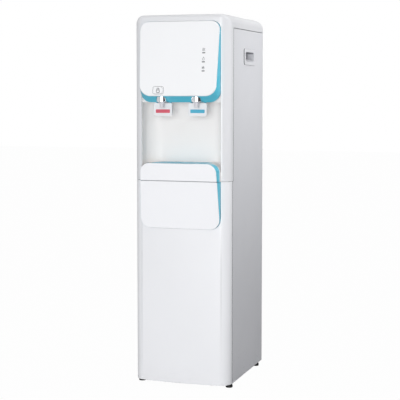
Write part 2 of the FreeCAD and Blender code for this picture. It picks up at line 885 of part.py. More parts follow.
def hinge_ear(tap, middle, sign):
    """One of the two ears under the lip that hold a paddle's pin."""
    name = f"ear_{tap}_{'left' if sign < 0 else 'right'}"
    owner = body(name)
    low = "(hinge_height - ear_radius)"
    front = f"({HINGE_Y} - ear_radius)"
    back = f"({HINGE_Y} + ear_radius)"
    points = [
        (front, "alcove_top"),
        (front, "hinge_height", "ear_radius", 1),
        (HINGE_Y, low, "ear_radius", 1),
        (back, "hinge_height"),
        (back, "alcove_top"),
    ]
    start = f"({middle} + {sign} * ear_inside)"
    pad(owner, outline(sketch_on(owner, "YZ_Plane", start), points), "ear_thick", reverse=sign < 0)
    doc.recompute()
    pocket(owner, circle(sketch_on(owner, "YZ_Plane", start), HINGE_Y, "hinge_height",
                         "(pin_radius + run_gap)"),
           "2 * overrun", both=True)
    return owner


def on_panel(name):
    """A body in the upper panel's own frame: Z up its slope from its lower edge, Y into it."""
    owner = body(name)
    y, z, tilt = UPPER_FACE
    place(owner, 0, y, z, tilt)
    return owner


def lock_outline(grow="0"):
    """The lock button's long round outline on the panel."""
    return rounded(f"(-lock_side - lock_width / 2 - {grow})", f"(-lock_side + lock_width / 2 + {grow})",
                   f"(lock_rise - lock_height / 2 - {grow})", f"(lock_rise + lock_height / 2 + {grow})",
                   f"(lock_corner + {grow})")


def lens_outline(index, grow="0"):
    """One indicator's small round-ended outline on the panel."""
    middle = f"(lens_rise + {index} * lens_pitch)"
    return rounded(f"(lens_side - lens_width / 2 - {grow})", f"(lens_side + lens_width / 2 + {grow})",
                   f"({middle} - lens_height / 2 - {grow})", f"({middle} + lens_height / 2 + {grow})",
                   f"(lens_corner + {grow})")


def upper_panel(solid):
    """The white control panel: a sloping skin with the lock's hole, light slots and board posts."""
    skin = common("upper_skin", solid, slab("upper_front", *UPPER_FACE, "0", "panel_thick"))
    posts = on_panel("board_posts")
    sketch = sketch_on(posts, "XZ_Plane", "-panel_thick")
    for x in ("(-board_half + boss_inset)", "(board_half - boss_inset)"):
        for rise in ("(board_bottom + boss_inset)", "(board_top - boss_inset)"):
            circle(sketch, x, rise, "boss_radius")
    pad(posts, sketch, "board_gap", reverse=True)
    holes = on_panel("panel_holes")
    sketch = outline(sketch_on(holes, "XZ_Plane", "overrun"), lock_outline("seat_gap"))
    for index in range(int(number("lens_count"))):
        outline(sketch, lens_outline(index, "run_gap"))
    pad(holes, sketch, "(panel_thick + 2 * overrun)", reverse=True)
    keep(cut("upper_panel", fuse("upper_panel_solid", skin, posts), holes), "upper_panel")


def controls():
    """The lock button and its switch, the indicator lenses and the board behind the panel."""
    button = on_panel("lock_button")
    pad(button, outline(sketch_on(button, "XZ_Plane", "lock_proud"), lock_outline()),
        "(panel_thick + lock_proud)", reverse=True)
    doc.recompute()
    pad(button, outline(sketch_on(button, "XZ_Plane", "-panel_thick"), lock_outline("lock_rim")),
        "lock_rim_thick", reverse=True)
    tail = "(board_gap - lock_rim_thick - switch_depth - lock_travel - seat_gap)"
    pad(button, circle(sketch_on(button, "XZ_Plane", "-(panel_thick + lock_rim_thick)"),
                       "-lock_tail_side", "lock_rise", "lock_tail_radius"), tail, reverse=True)
    doc.recompute()
    last = button.Tip
    top_edges = [
        f"Edge{index}" for index, edge in enumerate(last.Shape.Edges, start=1)
        if all(abs(vertex.Y + number("lock_proud")) < number("run_gap") for vertex in edge.Vertexes)
    ]
    soft = button.newObject("PartDesign::Fillet", "lock_button_soft")
    soft.Base = (last, top_edges)
    bind(soft, Radius="lock_proud / 2")
    keep(button, "lock_button")

    switch = on_panel("lock_switch")
    pad(switch, outline(sketch_on(switch, "XZ_Plane", "-(panel_thick + board_gap)"), rectangle(
        "(-lock_tail_side - switch_width / 2)", "(-lock_tail_side + switch_width / 2)",
        "(lock_rise - switch_height / 2)", "(lock_rise + switch_height / 2)")), "switch_depth")
    keep(switch, "lock_switch")

    lenses = []
    for index in range(int(number("lens_count"))):
        lens = on_panel(f"lens_{index}")
        pad(lens, outline(sketch_on(lens, "XZ_Plane"), lens_outline(index)),
            "(panel_thick + board_gap)", reverse=True)
        lenses.append(lens)
    keep(group("indicator_lenses", lenses), "indicator_lenses")

    board = on_panel("display_board")
    points = [
        ("-board_half", "board_tab_bottom"),
        ("(board_tab_width - board_half)", "board_tab_bottom"),
        ("(board_tab_width - board_half)", "board_bottom"),
        ("board_half", "board_bottom"),
        ("board_half", "board_top"),
        ("-board_half", "board_top"),
    ]
    pad(board, outline(sketch_on(board, "XZ_Plane", "-(panel_thick + board_gap)"), points),
        "board_thick", reverse=True)
    keep(board, "display_board")


def lower_fascia():
    """The drip tray with its front, and the raised panel on its trim below the split."""
    solid = lofted("lower_block", "XZ_Plane", lower_sections("0"))
    core = lofted("lower_core", "XZ_Plane", lower_sections("trim_wall"))
    behind = slab("lower_behind", *LOWER_FACE, "panel_thick", "reach")
    front = slab("lower_front", *LOWER_FACE, "0", "panel_thick")
    above = block("above_split", f"-{HALF}", HALF, f"({FRONT} - reach)", f"({FRONT} + reach)",
                  "(split_height + fascia_gap)", "(split_height + reach)")
    below = block("below_split", f"-{HALF}", HALF, f"({FRONT} - reach)", f"({FRONT} + reach)",
                  "(split_height - reach)", "split_height")
    blue = common("lower_blue", solid, behind)
    white = common("lower_white", solid, front)
    keep(cut("lower_trim", common("lower_trim_solid", blue, below), core), "lower_trim")
    keep(common("raised_panel", white, below), "raised_panel")
    keep(common("tray_fascia", white, above), "tray_fascia")
    tray_front = common("tray_front", blue, above)
    drip_tray(tray_front)


def drip_tray(tray_front):
    """A deep tray that slides out to the front, with a basin and a ledge for its grille."""
    rear = f"({ALCOVE_BACK} - fit_gap)"
    floor = "(split_height + seam_gap + liner_wall)"
    side = "(trim_half - fit_gap)"
    shoulders = through_front("tray_shoulders", rounded(f"-{side}", side, "lower_bottom", "tray_top",
                                                        "lower_bottom_radius", "lower_top_radius"),
                              f"({FRONT} - overrun)", f"({rear} - ({FRONT}) + 2 * overrun)")
    rear_block = common("tray_tub", prism("tray_rear", round_plan(side, FRONT, rear, "tray_rear_radius"),
                                          floor, "tray_top"), shoulders)
    ledge_half = "(trim_front_half - lower_top_radius)"
    basin_half = f"({ledge_half} - tray_rim)"
    basin = prism("tray_basin", round_plan(basin_half, f"({FRONT} - tray_tuck)",
                                           f"({rear} - tray_wall - tray_rim)",
                                          "(tray_rear_radius - tray_wall - tray_rim)"),
                  f"({floor} + tray_floor)", "(tray_top + overrun)")
    ledge = prism("tray_ledge", round_plan(ledge_half, f"({FRONT} - tray_tuck - tray_rim)",
                                           f"({rear} - tray_wall)",
                                          "(tray_rear_radius - tray_wall)"),
                  "(tray_top - grille_thick)", "(tray_top + overrun)")
    keep(cut("drip_tray", fuse("tray_solid", tray_front, rear_block), basin, ledge), "drip_tray")

    plate = prism("grille_plate", round_plan(f"({ledge_half} - seat_gap)",
                                             f"({FRONT} - tray_tuck - tray_rim + seat_gap)",
                                            f"({rear} - tray_wall - seat_gap)",
                                            "(tray_rear_radius - tray_wall - seat_gap)"),
                  "(tray_top - grille_thick)", "tray_top")
    sketch = sketch_on(plate, "XY_Plane", "(tray_top + overrun)")
    doc.recompute()
    for index in range(int(number("grille_slots"))):
        middle = f"(({index} - (grille_slots - 1) / 2) * grille_pitch)"
        outline(sketch, rectangle(f"({middle} - grille_slot / 2)", f"({middle} + grille_slot / 2)",
                                  f"({FRONT} + grille_land - tray_tuck)",
                                  f"({rear} - 2 * grille_land - tray_wall)"))
    pocket(plate, sketch, "(grille_thick + 2 * overrun)")
    keep(plate, "drip_grille")


def taps():
    """Each tap: collar with nozzle, valve, plunger, spring, paddle, strip and hinge pin."""
    pins = []
    for tap, sign in tap_sides():
        middle = f"({sign} * tap_spread)"
        collar = turned(f"collar_{tap}", [
            ("nozzle_bore", "nozzle_bottom"),
            ("nozzle_radius", "nozzle_bottom"),
            ("nozzle_radius", "(collar_bottom - collar_taper)"),
            ("collar_radius", "collar_bottom"),
            ("collar_radius", "collar_top"),
            ("(valve_root_radius + seat_gap)", "collar_top"),
            ("(valve_root_radius + seat_gap)", "valve_root_bottom"),
            ("nozzle_bore", "valve_root_bottom"),
        ], middle, TAP_Y)
        swing = "((collar_top - hinge_height) * sin(press_swing) + tongue_thick / 2 + fit_gap)"
        slot = block(f"collar_slot_{tap}", f"({middle} - tongue_half - fit_gap)",
                     f"({middle} + tongue_half + fit_gap)", f"({HINGE_Y} - {swing})",
                     f"({HINGE_Y} + overrun)", "hinge_height", "(collar_top + overrun)")
        keep(cut(f"tap_collar_{tap}", collar, slot), f"tap_collar_{tap}")
        tap_valve(tap, middle)
        tap_paddle(tap, middle)
        pin_half = "(ear_inside + ear_thick)"
        pins.append(rod(f"paddle_pin_{tap}", "pin_radius", f"2 * {pin_half}", f"({middle} - {pin_half})",
                        HINGE_Y, "hinge_height", "x"))
    keep(group("paddle_pins", pins), "paddle_pins")


def tap_valve(tap, middle):
    """A valve body with its inlet spigot, the plunger that the paddle pushes, and its spring."""
    stem = turned(f"valve_stem_{tap}", [
        ("0", "valve_root_bottom"),
        ("valve_root_radius", "valve_root_bottom"),
        ("valve_root_radius", "valve_root_top"),
        ("valve_radius", "valve_root_top"),
        ("valve_radius", "valve_top"),
        ("0", "valve_top"),
    ], middle, TAP_Y)
    spigot = rod(f"valve_spigot_{tap}", "spigot_radius", "spigot_length", middle, TAP_Y,
                 "spigot_height", "y")
    guide = rod(f"valve_guide_{tap}", "(plunger_radius + guide_wall)", "(valve_radius + seat_gap)",
                middle, TAP_Y, "plunger_height", "y")
    way = rod(f"valve_way_{tap}", "nozzle_bore", "(spigot_height - valve_root_bottom + overrun)",
              middle, TAP_Y, "(valve_root_bottom - overrun)")
    inlet = rod(f"valve_inlet_{tap}", "spigot_bore", "(spigot_length + overrun)", middle, TAP_Y,
                "spigot_height", "y")
    bore = rod(f"valve_bore_{tap}", "(plunger_radius + run_gap)",
               "(plunger_bore_end + valve_radius + overrun)",
               middle, f"({TAP_Y} - plunger_bore_end)", "plunger_height", "y")
    solid = fuse(f"valve_solid_{tap}", stem, spigot, guide)
    keep(cut(f"tap_valve_{tap}", solid, way, inlet, bore), f"tap_valve_{tap}")
    end = f"({HINGE_Y} - tongue_thick / 2 - seat_gap)"
    keep(rod(f"tap_plunger_{tap}", "plunger_radius", "plunger_length", middle,
             f"({end} - plunger_length)",
             "plunger_height", "y"), f"tap_plunger_{tap}")
    spring = body(f"tap_spring_{tap}")
    sketch = circle(sketch_on(spring, "XZ_Plane"), "spring_radius", "spring_wire", "spring_wire")
    coil = spring.newObject("PartDesign::AdditiveHelix", f"tap_spring_{tap}_coil")
    coil.Profile = sketch
    coil.ReferenceAxis = (sketch, ["V_Axis"])
    coil.Mode = "pitch-height-angle"
    bind(coil, Pitch="spring_pitch",
         Height=f"({end} - plunger_length - {TAP_Y} + plunger_bore_end - 2 * spring_wire - seat_gap)")
    spring.Placement = Placement(Vector(), Rotation(Vector(1, 0, 0), -90))
    place(spring, middle, f"({TAP_Y} - plunger_bore_end)", "plunger_height")
    keep(spring, f"tap_spring_{tap}")


def tap_paddle(tap, middle):
    """A push paddle on a knuckle, with a tongue above the hinge that pushes the plunger."""
    owner = body(f"paddle_{tap}")
    front = f"({FRONT} + paddle_front)"
    plate = rounded(f"({middle} - paddle_half)", f"({middle} + paddle_half)", "paddle_bottom",
                    "paddle_top",
                    "paddle_corner", "paddle_corner / 2")
    pad(owner, outline(sketch_on(owner, "XZ_Plane", f"-{front}"), plate), "paddle_thick", reverse=True)
    knuckle_half = "(ear_inside - fit_gap)"
    web = [
        (f"({front} + paddle_thick / 2)", "(hinge_height - knuckle_radius)"),
        (HINGE_Y, "(hinge_height - knuckle_radius)", "knuckle_radius", 1),
        (f"({HINGE_Y} + knuckle_radius)", "hinge_height", "knuckle_radius", 1),
        (HINGE_Y, "(hinge_height + knuckle_radius)"),
        (f"({HINGE_Y} - tongue_thick / 2)", "(hinge_height + knuckle_radius)"),
        (f"({front} + paddle_thick / 2)", "(hinge_height - knuckle_radius / 2)"),
    ]
    pad(owner, outline(sketch_on(owner, "YZ_Plane", middle), web), f"2 * {knuckle_half}", both=True)
    tongue = rectangle(f"({HINGE_Y} - tongue_thick / 2)", f"({HINGE_Y} + tongue_thick / 2)",
                       "hinge_height", "tongue_top")
    pad(owner, outline(sketch_on(owner, "YZ_Plane", middle), tongue), "2 * tongue_half", both=True)
    doc.recompute()
    pocket(owner, circle(sketch_on(owner, "YZ_Plane", middle), HINGE_Y, "hinge_height",
                         "(pin_radius + run_gap)"),
           "2 * paddle_half", both=True)
    keep(owner, f"paddle_{tap}")
    strip = body(f"paddle_strip_{tap}")
    points = rounded(f"({middle} - strip_half)", f"({middle} + strip_half)", "strip_bottom",
                     "(strip_bottom + strip_height)", "strip_corner")
    pad(strip, outline(sketch_on(strip, "XZ_Plane", f"-{front}"), points), "strip_thick")
    keep(strip, f"paddle_strip_{tap}")


def bottle_seat():
    """The lift-out collar and funnel that holds the bottle's neck, with the probe that opens it."""
    keep(turned("bottle_seat", [
        ("probe_bore", "seat_floor"),
        ("(seat_neck + seat_wall)", "seat_floor"),
        ("(seat_neck + seat_wall)", "(seat_shoulder - seat_wall)"),
        ("seat_skirt", "(seat_brim - seat_wall)"),
        ("seat_skirt", "cabinet_top"),
        ("seat_collar", "cabinet_top"),
        ("seat_collar", "(seat_top - seat_round)", "seat_round", 1),
        ("(seat_collar - seat_round)", "seat_top"),
        ("(seat_mouth + seat_round)", "seat_top", "seat_round", 1),
        ("seat_mouth", "(seat_top - seat_round)"),
        ("seat_mouth", "seat_brim"),
        ("seat_neck", "seat_shoulder"),
        ("seat_neck", "(seat_floor + seat_wall)"),
        ("probe_bore", "(seat_floor + seat_wall)"),
    ], 0, "seat_middle"), "bottle_seat")
    probe = turned("bottle_probe", [
        ("probe_bore", "(seat_floor + seat_wall)"),
        ("probe_radius", "(seat_floor + seat_wall)"),
        ("probe_radius", "(probe_top - probe_tip)"),
        ("probe_tip_radius", "probe_top"),
        ("0", "probe_top"),
        ("0", "(probe_top - seat_wall)"),
        ("probe_bore", "(probe_top - seat_wall)"),
    ], 0, "seat_middle")
    doc.recompute()
    slots = sketch_on(probe, "YZ_Plane")
    outline(slots,
            rectangle("-probe_slot / 2", "probe_slot / 2", "(probe_top - 2 * probe_tip - probe_slot)",
                             "(probe_top - probe_tip - probe_slot / 2)"))
    pocket(probe, slots, "4 * probe_radius", both=True)
    keep(probe, "bottle_probe")


def tank_spigot(name, side, start, height, end):
    """A tank's short outlet pipe, towards the front."""
    return rod(name, "outlet_radius", f"({start} - ({end}))", side, end, height, "y")


def shelf(name, top, front, back, *holes):
    """A sheet shelf between the side panels, with turned-down edges."""
    low = f"({top} - shelf_gauge)"
    plate = block(f"{name}_plate", f"-{INSIDE}", INSIDE, front, back, low, top)
    edges = [
        block(f"{name}_{hand}", left, right, front, back, f"({low} - shelf_flange)", low)
        for hand, left, right in (("left", f"-{INSIDE}", f"(shelf_gauge - {INSIDE})"),
                                  ("right", f"({INSIDE} - shelf_gauge)", INSIDE))
    ]
    joined = fuse(f"{name}_solid", plate, *edges)
    keep(cut(name, joined, *holes) if holes else joined, name)


def tanks():
    """The cold and hot tanks in their foam jackets on two shelves, and the hoses to the taps."""
    hose_end = f"({TAP_Y} + spigot_length)"
    cold_front = "(seat_middle - cold_radius - jacket_thick)"
    jacket = turned("cold_foam", [
        ("0", "(cold_bottom - foam_floor)"),
        ("(cold_radius + jacket_thick)", "(cold_bottom - foam_floor)"),
        ("(cold_radius + jacket_thick)", "cold_top"),
        ("(cold_radius + seat_gap)", "cold_top"),
        ("(cold_radius + seat_gap)", "(cold_bottom - seat_gap)"),
        ("0", "(cold_bottom - seat_gap)"),
    ], 0, "seat_middle")
    gap = rod("cold_foam_gap", "(outlet_radius + seat_gap)", "(cold_radius + jacket_thick)", "tap_spread",
              cold_front, "spigot_height", "y")
    keep(cut("cold_jacket", jacket, gap), "cold_jacket")
    shell = turned("cold_shell", [
        ("0", "cold_bottom"),
        ("cold_radius", "cold_bottom"),
        ("cold_radius", "cold_top"),
        ("(cold_radius - tank_wall)", "cold_top"),
        ("(cold_radius - tank_wall)", "(cold_bottom + tank_wall)"),
        ("0", "(cold_bottom + tank_wall)"),
    ], 0, "seat_middle")
    well = rod("cold_well", "(cold_radius - tank_wall)", "(cold_top - cold_bottom)", 0, "seat_middle",
               "(cold_bottom + tank_wall)")
    pipe = cut("cold_pipe", tank_spigot("cold_outlet", "tap_spread", "seat_middle", "spigot_height",
                                        cold_front), well)
    keep(fuse("cold_tank", shell, pipe), "cold_tank")
    keep(turned("tank_lid", [
        ("(seat_neck + seat_wall + fit_gap)", "cold_top"),
        ("(cold_radius + jacket_thick / 2)", "cold_top"),
        ("(cold_radius + jacket_thick / 2)", "(cold_top + lid_thick)"),
        ("(seat_neck + 2 * seat_wall + fit_gap)", "(cold_top + lid_thick)"),
        ("(seat_neck + 2 * seat_wall + fit_gap)", "(cold_top + lid_collar)"),
        ("(seat_neck + seat_wall + fit_gap)", "(cold_top + lid_collar)"),
    ], 0, "seat_middle"), "tank_lid")
    line_hole = rod("cold_shelf_hole", "(line_radius + fit_gap)", "2 * overrun", "suction_side",
                    "compressor_middle", "(cold_bottom - foam_floor - shelf_gauge - overrun)")
    shelf("cold_shelf", "(cold_bottom - foam_floor)", "-shelf_front", "shelf_back", line_hole)

    foam = turned("hot_foam", [
        ("0", "(hot_bottom - foam_floor / 2)"),
        ("(hot_radius + hot_foam_thick)", "(hot_bottom - foam_floor / 2)"),
        ("(hot_radius + hot_foam_thick)", "(hot_top - hot_dome)"),
        ("(hot_radius + seat_gap)", "(hot_top - hot_dome)"),
        ("(hot_radius + seat_gap)", "(hot_bottom - seat_gap)"),
        ("0", "(hot_bottom - seat_gap)"),
    ], 0, "seat_middle")
    hot_front = "(seat_middle - hot_radius - hot_foam_thick)"
    way = rod("hot_foam_way", "(outlet_radius + seat_gap)", "(hot_radius + hot_foam_thick)",
              "-tap_spread",
              hot_front, "hot_outlet_height", "y")
    keep(cut("hot_jacket", foam, way), "hot_jacket")
    boiler = turned("boiler", [
        ("0", "hot_bottom"),
        ("hot_radius", "hot_bottom"),
        ("hot_radius", "(hot_top - hot_dome)"),
        ("(hot_radius - hot_dome)", "hot_top"),
        ("0", "hot_top"),
    ], 0, "seat_middle")
    water = turned("boiler_water", [
        ("0", "(hot_bottom + tank_wall)"),
        ("(hot_radius - tank_wall)", "(hot_bottom + tank_wall)"),
        ("(hot_radius - tank_wall)", "(hot_top - hot_dome)"),
        ("(hot_radius - hot_dome)", "(hot_top - tank_wall)"),
        ("0", "(hot_top - tank_wall)"),
    ], 0, "seat_middle")
    spout = tank_spigot("hot_outlet", "-tap_spread", "seat_middle", "hot_outlet_height", hot_front)
    keep(cut("hot_tank", fuse("hot_vessel", boiler, spout), water), "hot_tank")
    keep(rod("thermostat", "thermostat_radius", "thermostat_height", 0, "seat_middle", "hot_top"),
         "thermostat")
    hole = rod("hot_shelf_hole", "(line_radius + fit_gap)", "2 * overrun", "suction_side",
               "compressor_middle", "(hot_bottom - foam_floor / 2 - shelf_gauge - overrun)")
    shelf("hot_shelf", "(hot_bottom - foam_floor / 2)", "-shelf_front", "shelf_back", hole)

    route = [
        (f"({hose_end} - hose_grip)", "spigot_height"),
        (f"({cold_front} + hose_grip)", "spigot_height"),
    ]
    hose("cold", "tap_spread", route)
    riser = f"({ALCOVE_BACK} + hose_clear)"
    route = [
        (f"({hose_end} - hose_grip)", "spigot_height"),
        (f"({riser} - hose_bend)", "spigot_height", "hose_bend", -1),
        (riser, "(spigot_height - hose_bend)"),
        (riser, "(hot_outlet_height + hose_bend)", "hose_bend", 1),
        (f"({riser} + hose_bend)", "hot_outlet_height"),
        (f"({hot_front} + hose_grip)", "hot_outlet_height"),
    ]
    hose("hot", "-tap_spread", route)


def pipe_along(owner, role, offset, route, radius, start, kind="Additive"):
    """Sweeps a round section along a flat route."""
    spine = outline(sketch_on(owner, role, offset), route, closed=False)
    ring = circle(sketch_on(owner, start[0], start[1]), start[2], start[3], radius)
    feature = owner.newObject(f"PartDesign::{kind}Pipe", f"{owner.Name}_pipe")
    feature.Profile = ring
    feature.Spine = (spine, [])
    return feature


def hose(tap, side, route):
    """A soft hose pushed over a tap's spigot and a tank's outlet."""
    owner = body(f"{tap}_hose")
    start = ("XZ_Plane", f"-({route[0][0]})", side, route[0][1])
    pipe_along(owner, "YZ_Plane", side, route, "(spigot_radius + seat_gap + hose_wall)", start)
    doc.recompute()
    pipe_along(owner, "YZ_Plane", side, route, "(spigot_radius + seat_gap)", start, "Subtractive")
    keep(owner, f"{tap}_hose")


def base():
    """The pan that carries everything, its feet and the cord's gland in its rear wall."""
    front = f"({LOWER_SEAM} + side_gap + sheet_gauge)"
    back = f"({BACK} - pan_recess)"
    floor = "(foot_height + pan_gauge)"
    outer = block("pan_outer", f"-{INSIDE}", INSIDE, front, back, "foot_height",
                  "(foot_height + pan_height)")
    inner = block("pan_inner", f"-({INSIDE} - pan_gauge)", f"({INSIDE} - pan_gauge)",
                  f"({front} + pan_gauge)",
                  f"({back} - pan_gauge)", floor, "(foot_height + pan_height + overrun)")
    middle = "(foot_height + pan_height / 2)"
    hole = rod("pan_hole", "(gland_radius + seat_gap)", "2 * overrun", "gland_side",
               f"({back} - overrun)", middle, "y")
    keep(cut("base_pan", outer, inner, hole), "base_pan")
    gland = fuse("gland_solid",
                 rod("gland_barrel", "gland_radius", "(gland_proud + pan_gauge + gland_flange_thick)",
                     "gland_side",
                     f"({back} - pan_gauge - gland_flange_thick)", middle, "y"),
                 rod("gland_nut", "gland_flange", "gland_flange_thick", "gland_side",
                     f"({back} - pan_gauge - gland_flange_thick)", middle, "y"),
                 rod("gland_head", "gland_flange", "gland_flange_thick", "gland_side", back, middle, "y"))
    bore = rod("gland_way", "gland_bore", "(gland_proud + 4 * overrun)", "gland_side",
               f"({back} - pan_gauge - gland_flange_thick - overrun)", middle, "y")
    keep(cut("cord_gland", gland, bore), "cord_gland")
    feet = [
        turned(f"foot_{side}_{end}", [
            ("0", "0"),
            ("foot_radius", "0"),
            ("foot_radius", "foot_height / 2"),
            ("foot_waist", "foot_height"),
            ("0", "foot_height"),
        ], f"({side} * foot_side)", depth)
        for side in (-1, 1) for end, depth in (("front", "-foot_front"), ("rear", "foot_rear"))
    ]
    keep(group("feet", feet), "feet")


def compressor_form(name, floor, inset):
    """The compressor's domed pot, or the space in it at a wall's thickness inside."""
    radius = f"(compressor_radius - {inset})"
    rise = f"(compressor_dome - {inset})"
    dome = f"(({radius} ^ 2 + {rise} ^ 2) / (2 * {rise}))"
    return turned(name, [
        ("0", f"({floor} + {inset})"),
        ("(compressor_radius - compressor_dome / 2)", f"({floor} + {inset})"),
        (radius, f"({floor} + compressor_dome)"),
        (radius, "(compressor_top - compressor_dome)", dome, 1),
        ("0", f"(compressor_top - {inset})"),
    ], 0, "compressor_middle")


def cooling():
    """The compressor on its grommets, the condenser across the open back, and the lines between."""
    pan = "(foot_height + pan_gauge)"
    seat = f"({pan} + grommet_height)"
    plate = f"({seat} + compressor_plate)"
    pot = compressor_form("compressor_pot", plate, "0")
    space = compressor_form("compressor_space", plate, "compressor_wall")
    motor = rod("compressor_motor", "motor_radius", "motor_tall", 0, "compressor_middle",
                f"({plate} + compressor_wall)")
    foot = block("compressor_foot", "-plate_half_wide", "plate_half_wide",
                 "(compressor_middle - plate_half_deep)",
                 "(compressor_middle + plate_half_deep)", seat, plate)
    terminals = block("compressor_terminals", "-terminal_half", "terminal_half", "compressor_middle",
                      "(compressor_middle + compressor_radius + terminal_proud)",
                      "(compressor_waist - terminal_half)", "(compressor_waist + terminal_half)")
    case = cut("compressor_case", fuse("compressor_solid", pot, foot, terminals), space)
    keep(group("compressor", [case, motor]), "compressor")
    grommets = [
        rod(f"grommet_{x_sign}_{y_sign}", "grommet_radius", "grommet_height",
            f"({x_sign} * (plate_half_wide - grommet_inset))",
            f"(compressor_middle + {y_sign} * (plate_half_deep - grommet_inset))", pan)
        for x_sign in (-1, 1) for y_sign in (-1, 1)
    ]
    keep(group("compressor_grommets", grommets), "compressor_grommets")

    coil_y = f"({BACK} - sheet_gauge - strap_gauge - coil_tube - run_gap)"
    passes = int(number("coil_passes"))
    route = []
    for index in range(passes):
        level = f"(coil_bottom + {index} * 2 * coil_bend)"
        sign = 1 if index % 2 == 0 else -1
        route.append((f"(-{sign} * coil_half)", level))
        if index == passes - 1:
            route.append((f"({sign} * coil_half)", level))
            break
        route.append((f"({sign} * coil_half)", level, "coil_bend", sign))
        route.append((f"({sign} * (coil_half + coil_bend))", f"({level} + coil_bend)", "coil_bend", sign))
    tube = body("condenser_tube")
    start = ("YZ_Plane", "-coil_half", coil_y, "coil_bottom")
    pipe_along(tube, "XZ_Plane", f"-{coil_y}", route, "coil_tube", start)
    keep(tube, "condenser_tube")
    rise = "((coil_passes - 1) * 2 * coil_bend)"
    wires = []
    for index in range(int(number("wire_count"))):
        spot = f"(wire_half * (2 * {index} / (wire_count - 1) - 1))"
        for side in (-1, 1):
            wires.append(rod(f"wire_{index}_{'front' if side < 0 else 'rear'}", "wire_radius",
                             f"({rise} + 2 * wire_over)", spot,
                             f"({coil_y} + {side} * (coil_tube + wire_radius + run_gap))",
                             "(coil_bottom - wire_over)"))
    keep(group("condenser_wires", wires), "condenser_wires")
    straps = [
        block(f"strap_{hand}", left, right, f"({BACK} - sheet_gauge - strap_gauge)",
              f"({BACK} - sheet_gauge)",
              "(coil_bottom - strap_over)", f"(coil_bottom + {rise} + strap_over)")
        for hand, left, right in (("left", f"-{INSIDE}", f"(strap_wide - {INSIDE})"),
                                  ("right", f"({INSIDE} - strap_wide)", INSIDE))
    ]
    keep(group("condenser_straps", straps), "condenser_straps")

    line = body("discharge_line")
    far = "(coil_half + discharge_out)"
    route = [
        ("(-compressor_radius - run_gap)", "compressor_middle"),
        (f"(line_bend - {far})", "compressor_middle", "line_bend", -1),
        (f"-{far}", "(compressor_middle + line_bend)"),
        (f"-{far}", f"({coil_y} - discharge_out + run_gap)", "(discharge_out - run_gap)", -1),
        ("(-coil_half - run_gap)", coil_y),
    ]
    start = ("YZ_Plane", "(-compressor_radius - run_gap)", "compressor_middle", "coil_bottom")
    pipe_along(line, "XY_Plane", "coil_bottom", route, "coil_tube", start)
    keep(line, "discharge_line")
    line = body("suction_line")
    route = [
        ("(compressor_radius + run_gap)", "compressor_waist"),
        ("(suction_side - line_bend)", "compressor_waist", "line_bend", 1),
        ("suction_side", "(compressor_waist + line_bend)"),
        ("suction_side", "(cold_bottom - foam_floor)"),
    ]
    start = ("YZ_Plane", "(compressor_radius + run_gap)", "compressor_middle", "compressor_waist")
    pipe_along(line, "XZ_Plane", "-compressor_middle", route, "line_radius", start)
    keep(line, "suction_line")


